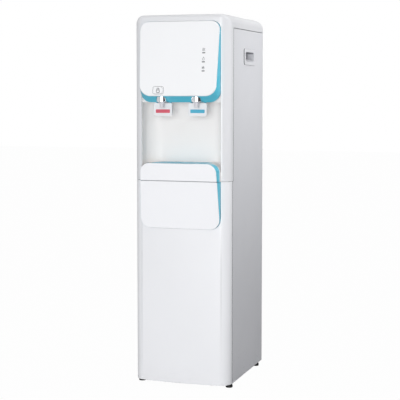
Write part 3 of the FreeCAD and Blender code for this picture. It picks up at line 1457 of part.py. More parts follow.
def rear():
    """The recessed rear panel with its two rocker switches and the drain with its screw cap."""
    web = f"({BACK} - rear_recess)"
    wide = f"({INSIDE} - rear_side_gap)"
    lip = f"({BACK} - sheet_gauge)"
    plan = [
        (f"-{wide}", lip),
        (f"-{wide}", web),
        (wide, web),
        (wide, lip),
        (f"({wide} - sheet_gauge)", lip),
        (f"({wide} - sheet_gauge)", f"({web} + sheet_gauge)"),
        (f"(sheet_gauge - {wide})", f"({web} + sheet_gauge)"),
        (f"(sheet_gauge - {wide})", lip),
    ]
    panel = prism("rear_sheet", plan, "rear_bottom", "cap_seam")
    face = f"({web} + sheet_gauge)"
    switch_z = "(rear_bottom + switch_rise)"
    drain_z = "(rear_bottom + drain_rise)"
    window = block("switch_window", "(switch_side - switch_box_wide / 2 - fit_gap)",
                   "(switch_side + switch_box_wide / 2 + fit_gap)", f"({web} - overrun)",
                   f"({web} + overrun)",
                   f"({switch_z} - switch_box_tall / 2 - fit_gap)",
                   f"({switch_z} + switch_box_tall / 2 + fit_gap)")
    hole = rod("drain_hole", "(drain_radius + seat_gap)", "2 * overrun", "-drain_side",
               f"({web} - overrun)", drain_z, "y")
    keep(cut("rear_panel", panel, window, hole), "rear_panel")

    box = block("switch_box", "(switch_side - switch_box_wide / 2)",
                "(switch_side + switch_box_wide / 2)",
                f"({web} - switch_box_deep)", face, f"({switch_z} - switch_box_tall / 2)",
                f"({switch_z} + switch_box_tall / 2)")
    flange = block("switch_flange", "(switch_side - switch_box_wide / 2 - switch_box_flange)",
                   "(switch_side + switch_box_wide / 2 + switch_box_flange)", face,
                   f"({face} + switch_box_rim)",
                   f"({switch_z} - switch_box_tall / 2 - switch_box_flange)",
                   f"({switch_z} + switch_box_tall / 2 + switch_box_flange)")
    top = f"({face} + switch_box_rim)"
    wells = []
    for name, sign in (("heating", -1), ("cooling", 1)):
        middle = f"(switch_side + {sign} * (rocker_wide + rocker_gap) / 2)"
        wells.append(block(f"well_{name}", f"({middle} - rocker_wide / 2 - seat_gap)",
                           f"({middle} + rocker_wide / 2 + seat_gap)", f"({top} - rocker_well)",
                           f"({top} + overrun)", f"({switch_z} - rocker_tall / 2 - fit_gap)",
                           f"({switch_z} + rocker_tall / 2 + fit_gap)"))
        rocker = body(f"{name}_rocker")
        half = "(rocker_tall / 2 - fit_gap)"
        points = [
            ("rocker_face", f"-{half}"),
            ("rocker_face * rocker_dish_share", "0"),
            ("rocker_face", half),
            ("0", half),
            ("-rocker_deep", "rocker_face"),
            ("-rocker_deep", "-rocker_face"),
            ("0", f"-{half}"),
        ]
        pad(rocker, outline(sketch_on(rocker, "YZ_Plane"), points), "rocker_wide", both=True)
        pad(rocker, circle(sketch_on(rocker, "YZ_Plane"), 0, 0, "rocker_pin"),
            "(rocker_wide + 2 * rocker_pin_out)", both=True)
        wells.append(rod(f"pivot_{name}", "(rocker_pin + run_gap)",
                         "(rocker_wide + 2 * rocker_pin_out + seat_gap)",
                         f"({middle} - rocker_wide / 2 - rocker_pin_out - seat_gap / 2)",
                         f"({top} - rocker_pivot)", switch_z, "x"))
        place(rocker, middle, f"({top} - rocker_pivot)", switch_z, "-rocker_swing / 2")
        keep(rocker, f"{name}_rocker")
    keep(cut("switch_housing", fuse("switch_solid", box, flange), *wells), "switch_housing")

    outlet = fuse("drain_solid",
                  rod("drain_tube", "drain_radius", "(drain_tail + sheet_gauge + drain_proud)",
                      "-drain_side",
                      f"({web} - drain_tail)", drain_z, "y"),
                  rod("drain_collar", "drain_flange", "drain_flange_thick", "-drain_side", face,
                      drain_z, "y"))
    bore = rod("drain_way", "drain_bore", "(drain_tail + drain_proud + 4 * overrun)", "-drain_side",
               f"({web} - drain_tail - overrun)", drain_z, "y")
    keep(cut("drain_outlet", outlet, bore), "drain_outlet")
    start = f"({face} + drain_flange_thick + seat_gap)"
    end = f"({face} + drain_proud + seat_gap + cap_wall)"
    cup = rod("drain_cup", "cap_radius", f"({end} - {start})", "-drain_side", start, drain_z, "y")
    inside = rod("drain_cup_inside", "(drain_radius + run_gap)",
                 f"({end} - {start} - cap_wall + overrun)",
                 "-drain_side", f"({start} - overrun)", drain_z, "y")
    notches = []
    for index in range(int(number("cap_ribs"))):
        angle = f"({index} * 360 / cap_ribs)"
        notches.append(rod(f"cap_notch_{index}", "cap_notch", f"({end} - {start} + 2 * overrun)",
                           f"(-drain_side + cap_radius * cos({angle}))", f"({start} - overrun)",
                           f"({drain_z} + cap_radius * sin({angle}))", "y"))
    keep(cut("drain_cap", cup, inside, *notches), "drain_cap")


def write_parts():
    """Checks every object of the document and writes each sub-part to its own file."""
    doc.recompute()
    for thing in doc.Objects:
        if "Invalid" in thing.State or "Error" in thing.State:
            raise RuntimeError(f"{thing.Label} does not build: {thing.State}")
    os.makedirs("parts", exist_ok=True)
    for thing in sub_parts:
        if thing.Shape.isNull() or not thing.Shape.isValid() or not thing.Shape.Solids:
            raise RuntimeError(f"{thing.Label} has no sound shape")
        thing.Shape.exportStep(f"parts/{thing.Label}.step")
        print(thing.Label, len(thing.Shape.Solids), round(thing.Shape.Volume / 1000, 1))


front_upper_shell()
front_lower_panel()
top_cover()
for hand, sign in (("left", -1), ("right", 1)):
    side_panel(hand, sign)
    grip(hand, sign)
alcove_liner()
upper_panel(upper_trim())
controls()
lower_fascia()
taps()
bottle_seat()
tanks()
base()
cooling()
rear()
write_parts()
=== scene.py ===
"""Looks of a floor-standing hot and cold water dispenser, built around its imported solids.

Every length is in metres unless a name says otherwise, in the frame of the solids:
the floor at z = 0, +Z up and the front towards -Y.
"""

import json
import logging
import math
from dataclasses import dataclass, field
from enum import Enum
from functools import cached_property
from typing import Any, Callable, Iterable, Sequence

import bmesh
import bpy
import numpy as np
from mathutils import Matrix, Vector


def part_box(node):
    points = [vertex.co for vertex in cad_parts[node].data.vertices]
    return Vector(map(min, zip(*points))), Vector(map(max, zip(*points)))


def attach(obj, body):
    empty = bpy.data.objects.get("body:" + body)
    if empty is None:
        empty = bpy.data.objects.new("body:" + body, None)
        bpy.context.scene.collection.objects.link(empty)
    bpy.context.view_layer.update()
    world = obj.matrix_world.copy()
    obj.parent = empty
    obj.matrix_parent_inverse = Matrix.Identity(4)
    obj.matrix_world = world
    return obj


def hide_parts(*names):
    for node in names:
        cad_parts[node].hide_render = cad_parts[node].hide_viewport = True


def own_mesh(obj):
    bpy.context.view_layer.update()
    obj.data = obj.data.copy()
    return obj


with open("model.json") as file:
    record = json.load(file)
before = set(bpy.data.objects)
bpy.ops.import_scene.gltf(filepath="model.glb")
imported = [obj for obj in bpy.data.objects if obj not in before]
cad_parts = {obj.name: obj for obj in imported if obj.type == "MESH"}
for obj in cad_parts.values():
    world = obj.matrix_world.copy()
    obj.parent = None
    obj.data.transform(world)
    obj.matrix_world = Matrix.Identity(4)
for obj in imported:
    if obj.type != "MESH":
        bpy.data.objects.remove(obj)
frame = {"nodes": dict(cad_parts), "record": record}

Array = np.ndarray
Piece = bpy.types.Object
Socket = bpy.types.NodeSocket
Point = tuple[float, float, float]
Colour = tuple[float, float, float]
Choice = Callable[[Array, Array], Array]

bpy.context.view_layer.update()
NODES: dict[str, Piece] = frame["nodes"]
BODIES: dict[str, list[str]] = frame["record"]["behaviour"]["bodies"]
BODY_OF = {node: body for body, nodes in BODIES.items() for node in nodes}
MM = 0.001
log = logging.getLogger("water_dispenser")


class Side(Enum):
    """The two taps, with the side of the machine that each is on."""

    HOT = -1
    COLD = 1

    @property
    def word(self) -> str:
        """The tap's word in the names of nodes and bodies."""
        return self.name.lower()


def linear(*shown: float) -> Colour:
    """Turns a display colour into scene-linear light.

    Args:
        shown: Its red, green and blue, each of 0 to 255.

    Returns:
        The three linear values: (c / 12.92) in the dark, ((c + 0.055) / 1.055) ^ 2.4 above it.
    """
    share = np.array(shown) / 255.0
    light = np.where(share <= 0.04045, share / 12.92, ((share + 0.055) / 1.055) ** 2.4)
    return tuple(float(value) for value in light)


class Shade:
    """A value socket of a shader, so that shader maths is written as plain sums."""

    def __init__(self, recipe: "Recipe", socket: Socket) -> None:
        """Keeps the socket and the recipe that new nodes go into."""
        self.recipe = recipe
        self.socket = socket

    def _math(self, operation: str, first: Any, second: Any = 0.0) -> "Shade":
        """Adds one Math node and returns its result."""
        return self.recipe.shade("Math", {0: first, 1: second}, operation=operation)

    def __add__(self, other: Any) -> "Shade":
        """The sum of two values."""
        return self._math("ADD", self, other)

    def __rsub__(self, other: Any) -> "Shade":
        """Another value less this one."""
        return self._math("SUBTRACT", other, self)

    def __mul__(self, other: Any) -> "Shade":
        """The product of two values."""
        return self._math("MULTIPLY", self, other)

    def wave(self) -> "Shade":
        """The sine of this value."""
        return self._math("SINE", self)

    def between(self, low: float, high: float) -> "Shade":
        """A smooth step that is 0 at the low value and 1 at the high one."""
        sockets = {"Value": self, "From Min": low, "From Max": high}
        return self.recipe.shade("MapRange", sockets, interpolation_type="SMOOTHSTEP")


class Tree:
    """A node tree that is filled by the names of its nodes' sockets."""

    def __init__(self, owner: bpy.types.ID) -> None:
        """Starts an empty tree.

        Args:
            owner: The material or the world that it belongs to.
        """
        owner.use_nodes = True
        self.tree = owner.node_tree
        self.tree.nodes.clear()

    def node(self, kind: str, sockets: dict[Any, Any], **settings: Any) -> bpy.types.Node:
        """Adds a node, sets it up and feeds its sockets.

        Args:
            kind: The node's type, without the leading ShaderNode.
            sockets: A value, a Shade or another node's output for each named or numbered input.
            settings: Its own settings, set before its sockets.

        Returns:
            The new node.
        """
        made = self.tree.nodes.new(f"ShaderNode{kind}")
        for name, value in settings.items():
            setattr(made, name, value)
        for name, value in sockets.items():
            self.feed(made.inputs[name], value)
        return made

    def feed(self, socket: Socket, value: Any) -> None:
        """Links a socket, or sets a plain number or colour on it.

        Args:
            socket: The input.
            value: A Shade, another node's output, a number or a colour.
        """
        if isinstance(value, Shade):
            value = value.socket
        if isinstance(value, Socket):
            self.tree.links.new(value, socket)
        elif socket.type == "RGBA" and len(value) == 3:
            socket.default_value = (*value, 1.0)
        else:
            socket.default_value = value


class Recipe(Tree):
    """One material's node tree, with the few kinds of pattern that the finishes share."""

    def __init__(self, name: str) -> None:
        """Starts a material with a Principled shader and Object coordinates.

        Args:
            name: The material's name.
        """
        self.material = bpy.data.materials.new(name)
        super().__init__(self.material)
        self.shader = self.node("BsdfPrincipled", {})
        self.output = self.node("OutputMaterial", {"Surface": self.shader.outputs[0]})
        self.place = self.node("TexCoord", {}).outputs["Object"]

    def set(self, **values: Any) -> None:
        """Feeds the shader's sockets, named with underscores for spaces."""
        for name, value in values.items():
            self.feed(self.shader.inputs[name.replace("_", " ")], value)

    def shade(self, kind: str, sockets: dict[Any, Any], **settings: Any) -> Shade:
        """Adds a node and returns its first output as a value."""
        return Shade(self, self.node(kind, sockets, **settings).outputs[0])

    def stretched(self, across: Sequence[float]) -> Socket:
        """Object coordinates scaled by a factor for each axis."""
        return self.node("Mapping", {"Vector": self.place, "Scale": tuple(across)}).outputs[0]

    def axis(self, letter: str) -> Shade:
        """One of the Object coordinates as a value."""
        node = self.node("SeparateXYZ", {"Vector": self.place})
        return Shade(self, node.outputs[letter])

    def noise(self, scale: float, detail: float = 2.0, place: Any = None) -> Shade:
        """A soft noise from 0 to 1, of a scale in blotches a metre, with finer layers of detail."""
        sockets = {"Vector": place or self.place, "Scale": scale, "Detail": detail}
        return self.shade("TexNoise", sockets)

    def cells(self, scale: float, feature: str = "F1") -> Shade:
        """The distance to the nearest middle of a cell, of a scale in cells a metre."""
        return self.shade("TexVoronoi", {"Vector": self.place, "Scale": scale}, feature=feature)

    def colour(self, factor: Any, first: Any, second: Any) -> Socket:
        """Mixes two colours or outputs, by how much of the second one shows."""
        sockets = {"Factor": factor, 6: first, 7: second}
        return self.node("Mix", sockets, data_type="RGBA").outputs[2]

    def bump(self, height: Shade, depth: float, strength: float = 1.0) -> None:
        """Feeds the shader's normal with a pattern from 0 to 1, of a depth in metres."""
        sockets = {"Height": height, "Distance": depth, "Strength": strength}
        self.set(Normal=self.node("Bump", sockets).outputs[0])


@dataclass(frozen=True)
class Finish:
    """What every finish has: its name, its slot in the record, its colour and its gloss."""

    name: str
    slot: str
    colour: Colour
    roughness: float

    def lay(self) -> None:
        """Writes the finish into its recipe; each kind of finish has its own."""
        raise NotImplementedError(self.name)

    @cached_property
    def recipe(self) -> Recipe:
        """The recipe that the finish is written into."""
        return Recipe(self.name)

    @cached_property
    def material(self) -> bpy.types.Material:
        """The finish's material, made once."""
        self.lay()
        return self.recipe.material

    def toned(self, share: float) -> Colour:
        """The colour times a share."""
        return tuple(share * value for value in self.colour)

    def drifted(self, amount: float, scale: float) -> Socket:
        """The colour, darkened by a share at most in slow blotches, of a scale in blotches a metre."""
        patches = self.recipe.noise(scale, 3.0).between(0.3, 0.7)
        return self.recipe.colour(patches, self.colour, self.toned(1.0 - amount))


@dataclass(frozen=True)
class Moulding(Finish):
    """Injection-moulded plastic: a slow drift of tone, a fine skin, faint smears and settled dust."""

    drift: float = 0.015
    grain: float = 900.0
    grain_depth: float = 0.00003
    smear: float = 0.08
    gloss_coat: float = 0.0
    dust: float = 0.06
    dust_height: float = 0.10
    through: float = 0.0

    def lay(self) -> None:
        """Lays tone, dust near the floor, smeared gloss and the moulded skin."""
        recipe = self.recipe
        tone = self.drifted(self.drift, 5.0)
        low = 1.0 - recipe.axis("Z").between(0.0, self.dust_height)
        settled = low * recipe.noise(60.0, 4.0).between(0.35, 0.75) * self.dust
        smears = recipe.noise(9.0, 5.0, recipe.stretched((1.0, 1.0, 0.35)))
        recipe.set(
            Base_Color=recipe.colour(settled, tone, self.toned(0.62)),
            Roughness=smears.between(0.35, 0.8) * self.smear + settled * 0.3 + self.roughness,
            Coat_Weight=self.gloss_coat,
            Coat_Roughness=0.03,
            IOR=1.5,
            Transmission_Weight=self.through,
        )
        recipe.bump(recipe.noise(self.grain), self.grain_depth)


@dataclass(frozen=True)
class PowderCoat(Finish):
    """Painted sheet: the fine orange peel of a baked coat, a slow drift and a little handling."""

    peel: float = 650.0
    peel_depth: float = 0.00005

    def lay(self) -> None:
        """Lays the coat's tone, its gloss and its peel."""
        recipe = self.recipe
        tone = self.drifted(0.03, 3.5)
        low = 1.0 - recipe.axis("Z").between(0.0, 0.16)
        scuffs = recipe.noise(38.0, 6.0, recipe.stretched((1.0, 1.0, 2.6))).between(0.60, 0.72) * low
        recipe.set(
            Base_Color=recipe.colour(scuffs * 0.35, tone, self.toned(0.6)),
            Roughness=recipe.noise(14.0, 4.0) * 0.12 + self.roughness,
            IOR=1.5,
        )
        peel = recipe.cells(self.peel, "SMOOTH_F1")
        recipe.bump(peel * 0.6 + recipe.noise(self.peel * 0.5) * 0.4, self.peel_depth)


@dataclass(frozen=True)
class Plating(Finish):
    """Bright plating with water spots and wiped smears."""

    spots: float = 190.0

    def lay(self) -> None:
        """Lays a mirror with spots that dull it here and there."""
        recipe = self.recipe
        drops = recipe.cells(self.spots).between(0.16, 0.10)
        spot = drops * recipe.noise(45.0).between(0.5, 0.7)
        smears = recipe.noise(60.0, 4.0, recipe.stretched((1.0, 1.0, 0.3))).between(0.4, 0.8)
        recipe.set(
            Base_Color=recipe.colour(spot * 0.35, self.colour, self.toned(0.8)),
            Metallic=1.0,
            Roughness=smears * 0.05 + spot * 0.12 + self.roughness,
        )
        recipe.bump(recipe.noise(320.0), 0.00001, 0.5)


@dataclass(frozen=True)
class BareMetal(Finish):
    """Drawn or rolled metal with fine lines along one axis and slow tarnish."""

    lines: Point = (40.0, 40.0, 900.0)
    tarnish: Colour = (0.25, 0.2, 0.16)
    tarnish_share: float = 0.25

    def lay(self) -> None:
        """Lays rolled lines in gloss and height, and tarnish in patches."""
        recipe = self.recipe
        rolled = recipe.noise(1.0, 4.0, recipe.stretched(self.lines))
        patches = recipe.noise(16.0, 6.0).between(0.48, 0.72)
        metal = self.drifted(0.12, 30.0)
        recipe.set(
            Base_Color=recipe.colour(patches * self.tarnish_share, metal, self.tarnish),
            Metallic=1.0,
            Roughness=rolled * 0.16 + patches * 0.12 + self.roughness,
        )
        recipe.bump(rolled, 0.00003)


@dataclass(frozen=True)
class Galvanising(Finish):
    """Hot-dipped sheet: flat crystals of zinc that differ in tone and gloss."""

    spangle: float = 85.0
    bloom: Colour = (0.62, 0.64, 0.66)

    def lay(self) -> None:
        """Lays a tone and a gloss for each crystal, with white bloom in patches."""
        recipe = self.recipe
        sockets = {"Vector": recipe.place, "Scale": self.spangle}
        crystal = recipe.node("TexVoronoi", sockets).outputs["Color"]
        tone = recipe.shade("SeparateColor", {"Color": crystal})
        bloom = recipe.noise(22.0, 6.0).between(0.55, 0.8)
        zinc = recipe.colour(tone, self.toned(0.72), self.colour)
        recipe.set(
            Base_Color=recipe.colour(bloom * 0.4, zinc, self.bloom),
            Metallic=1.0 - bloom * 0.5,
            Roughness=tone * 0.2 + bloom * 0.15 + self.roughness,
        )
        recipe.bump(tone * 0.5 + recipe.noise(500.0) * 0.5, 0.00004)


@dataclass(frozen=True)
class StovePaint(Finish):
    """Black stoved paint with faint runs, dust on top and rubbed spots."""

    def lay(self) -> None:
        """Lays the paint, its runs and the dust that lies on it."""
        recipe = self.recipe
        runs = recipe.noise(70.0, 3.0, recipe.stretched((1.0, 1.0, 0.18)))
        dust = recipe.noise(34.0, 6.0).between(0.5, 0.85)
        recipe.set(
            Base_Color=recipe.colour(dust * 0.3, self.drifted(0.3, 20.0), (0.12, 0.115, 0.11)),
            Roughness=dust * 0.25 + runs * 0.1 + self.roughness,
            IOR=1.5,
        )
        recipe.bump(runs * 0.7 + recipe.noise(700.0) * 0.3, 0.00006)


@dataclass(frozen=True)
class Foam(Finish):
    """Blown insulation: open cells with a broken skin and yellowed patches."""

    cell: float = 420.0

    def lay(self) -> None:
        """Lays cells in height and a yellowing in patches."""
        recipe = self.recipe
        cell = recipe.cells(self.cell)
        aged = recipe.noise(14.0, 5.0).between(0.4, 0.75)
        yellow = tuple(value * share for value, share in zip(self.colour, (0.92, 0.84, 0.62)))
        recipe.set(
            Base_Color=recipe.colour(aged * 0.7, self.drifted(0.06, 60.0), yellow),
            Roughness=cell * 0.1 + self.roughness,
        )
        recipe.bump(cell * 0.7 + recipe.noise(130.0, 4.0) * 0.3, 0.0006)


@dataclass(frozen=True)
class Rubber(Finish):
    """Moulded rubber: matt, with a pale bloom and fine grit."""

    def lay(self) -> None:
        """Lays bloom and grit over the dark body."""
        recipe = self.recipe
        bloom = recipe.noise(90.0, 5.0).between(0.45, 0.8)
        recipe.set(
            Base_Color=recipe.colour(bloom * 0.25, self.drifted(0.3, 40.0), (0.1, 0.1, 0.105)),
            Roughness=bloom * 0.12 + self.roughness,
        )
        recipe.bump(recipe.noise(1200.0), 0.00005)


@dataclass(frozen=True)
class Hose(Finish):
    """Soft clear tube with a milky wall."""

    def lay(self) -> None:
        """Lays a milky tone and lets some light through."""
        recipe = self.recipe
        milk = recipe.noise(60.0, 4.0)
        recipe.set(
            Base_Color=recipe.colour(milk * 0.4, self.colour, self.toned(0.8)),
            Roughness=milk * 0.1 + self.roughness,
            Transmission_Weight=0.35,
            IOR=1.41,
        )
        recipe.bump(recipe.noise(400.0), 0.00002)


@dataclass(frozen=True)
class Laminate(Finish):
    """A printed circuit board: green mask over copper runs, with drilled pads."""

    def lay(self) -> None:
        """Lays runs as thin bands of a sine across the board, and pads at cell centres."""
        recipe = self.recipe
        sweep = recipe.axis("X") * 900.0 + recipe.noise(60.0) * 6.0
        runs = sweep.wave().between(0.55, 0.8)
        pads = recipe.cells(140.0).between(0.14, 0.10)
        mask = recipe.colour(runs * 0.5, self.colour, self.toned(1.8))
        recipe.set(
            Base_Color=recipe.colour(pads, mask, (0.62, 0.6, 0.56)),
            Metallic=pads,
            Roughness=runs * 0.05 + self.roughness,
            Coat_Weight=0.3,
        )
        recipe.bump(runs * 0.6 + pads * 0.4, 0.00005)


@dataclass(frozen=True)
class Ink(Finish):
    """Printed marks: flat ink with a slightly broken edge tone."""

    def lay(self) -> None:
        """Lays ink that varies a little in cover."""
        recipe = self.recipe
        cover = recipe.noise(1500.0, 3.0).between(0.25, 0.75)
        recipe.set(
            Base_Color=recipe.colour(cover * 0.25, self.colour, self.toned(1.35)),
            Roughness=cover * 0.1 + self.roughness,
        )
        recipe.bump(recipe.noise(1800.0), 0.00001)


@dataclass(frozen=True)
class Floor(Finish):
    """The pale floor that the machine stands on."""

    glow: float = 0.98

    def lay(self) -> None:
        """Lays an even pale tone with a very slow drift, and lights it evenly for the camera alone."""
        recipe = self.recipe
        recipe.set(
            Base_Color=self.drifted(0.01, 0.4),
            Roughness=self.roughness,
            Specular_IOR_Level=0.1,
        )
        glow = recipe.node("Emission", {"Color": (1.0, 1.0, 1.0), "Strength": 1.0})
        seen = Shade(recipe, recipe.node("LightPath", {}).outputs["Is Camera Ray"])
        sockets = {0: seen * self.glow, 1: recipe.shader.outputs[0], 2: glow.outputs[0]}
        both = recipe.node("MixShader", sockets)
        recipe.tree.links.new(both.outputs[0], recipe.output.inputs["Surface"])


# Painted shade: the upper shell, top cover and bottle seat use the lower shell's white moulding,
# painted a shade darker.
SHADED_SHELL = Moulding("frame_white_moulding", "white_shell", linear(217, 218, 221), 0.34, gloss_coat=0.15)
LOWER_SHELL = Moulding("lower_white_moulding", "white_shell", linear(229, 230, 233), 0.34,
                       gloss_coat=0.15)
PANEL = Moulding("panel_white_gloss", "white_panel", linear(236, 237, 239), 0.16, gloss_coat=0.5,
                 smear=0.05, grain_depth=0.00001, drift=0.008)
LOWER_PANEL = Moulding("lower_panel_white_gloss", "white_panel", linear(238, 239, 242), 0.18,
                       gloss_coat=0.45, smear=0.05, grain_depth=0.00001, drift=0.008)
LINER = Moulding("alcove_white_moulding", "white_shell", linear(235, 233, 232), 0.6,
                 grain_depth=0.00004)
TRIM = Moulding("trim_cyan_moulding", "blue_trim", linear(82, 187, 212), 0.3, gloss_coat=0.3,
                drift=0.06)
PADDLE = Moulding("paddle_milk_white", "paddle_white", linear(225, 226, 229), 0.2, gloss_coat=0.3,
                  drift=0.01)
NOZZLE = Moulding("nozzle_matt_white", "paddle_white", linear(205, 204, 209), 0.55, drift=0.01)
HOT_STRIP = Moulding("hot_strip_red", "hot_red", linear(204, 88, 106), 0.3, drift=0.05)
COLD_STRIP = Moulding("cold_strip_cyan", "cold_blue", linear(72, 168, 198), 0.3, drift=0.05)
GRILLE = Moulding("grille_pale_teal", "blue_trim", linear(122, 200, 222), 0.36, grain_depth=0.00004)
GREY_PLASTIC = Moulding("grip_grey_moulding", "grey_plastic", linear(214, 215, 219), 0.4,
                        grain_depth=0.00006)
# Painted shade: a darker, duller grey for the back wall and ceiling of the grips' pockets.
POCKET_SHADE = Moulding("grip_pocket_moulding", "grey_plastic", linear(150, 151, 156), 0.5,
                  grain_depth=0.00006)
BLACK_PLASTIC = Moulding("black_moulding", "black_plastic", linear(30, 31, 33), 0.42, drift=0.2,
                         grain_depth=0.00008)
LENS = Moulding("indicator_smoke_lens", "lens", linear(100, 102, 108), 0.14, gloss_coat=0.6,
                through=0.25)
SIDE = PowderCoat("side_baked_white", "white_sheet", linear(214, 215, 219), 0.36)
CHROME = Plating("tap_bright_plating", "chrome", (0.86, 0.87, 0.89), 0.05)
STEEL = BareMetal("tank_rolled_steel", "steel", (0.62, 0.61, 0.6), 0.28)
COPPER = BareMetal("line_drawn_copper", "copper", (0.86, 0.46, 0.3), 0.26,
                   tarnish=(0.22, 0.1, 0.06), tarnish_share=0.55)
ZINC = Galvanising("sheet_dipped_zinc", "galvanised", (0.62, 0.64, 0.66), 0.3)
BLACK_PAINT = StovePaint("stoved_black_paint", "black_paint", linear(26, 27, 28), 0.4)
FOAM = Foam("blown_foam", "foam", linear(222, 214, 190), 0.88)
RUBBER = Rubber("foot_black_rubber", "black_rubber", linear(28, 28, 29), 0.7)
# Painted shade: a dark grey laid on the side sheets' front flanges and round the grips' flanges, where
# the seams are in shade.
SEAM_SHADE = Rubber("seam_grey_seal", "black_rubber", linear(70, 71, 74), 0.6)
SILICONE = Hose("tap_hose_silicone", "silicone", linear(226, 230, 232), 0.3)
BOARD = Laminate("display_board_green", "board", linear(18, 84, 50), 0.32)
INK = Ink("pictogram_grey_ink", "grey_plastic", linear(84, 86, 92), 0.4)
FLOOR = Floor("studio_pale_floor", "white_shell", linear(190, 190, 192), 0.8)


class Maker:
    """Turns computed surfaces and softened copies of solids into pieces that ride on their bodies."""

    same_place: float = 2e-6
    same_plane: float = math.radians(0.2)
    crease: float = math.radians(32.0)

    def put(self, name: str, points: Array, faces: Array, thick: float | None = None) -> Piece:
        """Makes a mesh object at the origin, smooth where it is a surface and flat where it is a sheet.

        Args:
            name: The piece's name.
            points: An array of corners, three numbers each.
            faces: Corner numbers of each face.
            thick: A flat sheet's thickness towards its back, or None for a surface.

        Returns:
            The object, linked to the scene.
        """
        mesh = bpy.data.meshes.new(name)
        mesh.from_pydata(np.asarray(points, float).tolist(), [], np.asarray(faces).tolist())
        mesh.polygons.foreach_set("use_smooth", np.full(len(mesh.polygons), thick is None))
        made = bpy.data.objects.new(name, mesh)
        bpy.context.scene.collection.objects.link(made)
        if thick:
            wall = made.modifiers.new("thickness", "SOLIDIFY")
            wall.thickness = thick
            wall.offset = -1.0
        return made

    def grid_faces(self, rows: int, columns: int, around: bool = False) -> Array:
        """Corner numbers of a grid's squares.

        Args:
            rows: Points along the first parameter.
            columns: Points along the second.
            around: Whether the second parameter closes on itself.

        Returns:
            One row of four numbers for each square.
        """
        row = np.arange(rows - 1)[:, None]
        column = np.arange(columns if around else columns - 1)[None, :]
        after = (column + 1) % columns
        near, far = row * columns, (row + 1) * columns
        corners = (near + column, near + after, far + after, far + column)
        return np.stack(np.broadcast_arrays(*corners), axis=-1).reshape(-1, 4)

    def finish(self, piece: Piece, finish: Finish, body: str) -> None:
        """Dresses a piece and lets it ride on a body.

        Args:
            piece: The piece.
            finish: What it is dressed in.
            body: The body's name.
        """
        piece.data.materials.clear()
        piece.data.materials.append(finish.material)
        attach(piece, body)
        log.info("piece %s rides on %s", piece.name, body)

    def dress(self, finishes: dict[str, Finish]) -> None:
        """Gives solids that show as they are their finishes.

        Args:
            finishes: The finish of each solid, by its node.
        """
        for node, finish in finishes.items():
            for slot in NODES[node].material_slots:
                slot.material = finish.material
            log.info("solid %s has %s", node, finish.name)

    def softened(self, node: str, finish: Finish, width: float, segments: int = 3) -> Piece:
        """Stands a copy of a solid in its place, with merged corners and rounded creases.

        Args:
            node: The solid's node.
            finish: What the copy is dressed in.
            width: The rounding's width.
            segments: Faces across the rounding.

        Returns:
            The copy.
        """
        work = bmesh.new()
        work.from_mesh(NODES[node].data)
        bmesh.ops.remove_doubles(work, verts=work.verts[:], dist=self.same_place)
        bmesh.ops.dissolve_degenerate(work, edges=work.edges[:], dist=self.same_place)
        bmesh.ops.dissolve_limit(work, angle_limit=self.same_plane, verts=work.verts[:],
                                 edges=work.edges[:])
        mesh = bpy.data.meshes.new(f"{node}_soft")
        work.to_mesh(mesh)
        work.free()
        if "custom_normal" in mesh.attributes:
            mesh.attributes.remove(mesh.attributes["custom_normal"])
        mesh.polygons.foreach_set("use_smooth", np.full(len(mesh.polygons), True))
        mesh.set_sharp_from_angle(angle=self.crease)
        piece = bpy.data.objects.new(f"{node}_soft", mesh)
        bpy.context.scene.collection.objects.link(piece)
        if width > 0.0:
            bevel = piece.modifiers.new("edge_rounding", "BEVEL")
            bevel.width = width
            bevel.segments = segments
            bevel.limit_method = "ANGLE"
            bevel.angle_limit = self.crease
            bevel.harden_normals = True
            bevel.use_clamp_overlap = True
        self.finish(piece, finish, BODY_OF[node])
        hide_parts(node)
        return piece

    def second(self, piece: Piece, finish: Finish, choose: Choice) -> None:
        """Gives some faces of a piece another finish.

        Args:
            piece: The piece, which has its first finish already.
            finish: The other finish.
            choose: Picks the faces from their middles and normals.
        """
        mesh = piece.data
        mesh.materials.append(finish.material)
        middles, normals = np.empty((2, 3 * len(mesh.polygons)))
        mesh.polygons.foreach_get("center", middles)
        mesh.polygons.foreach_get("normal", normals)
        index = np.empty(len(mesh.polygons), np.int32)
        mesh.polygons.foreach_get("material_index", index)
        index[choose(middles.reshape(-1, 3), normals.reshape(-1, 3))] = len(mesh.materials) - 1
        mesh.polygons.foreach_set("material_index", index)


MAKER = Maker()


@dataclass
class Plane:
    """A flat face that marks lie on: where it starts, and its two directions."""

    start: Array
    across: Array
    along: Array

    @property
    def out(self) -> Array:
        """The direction that the face looks in."""
        return np.cross(self.across, self.along)

    def at(self, flat: Array, lift: float) -> Array:
        """Places flat points (u, v) on the face: start + u across + v along + lift out."""
        u, v = flat[..., 0:1], flat[..., 1:2]
        return self.start + u * self.across + v * self.along + lift * self.out


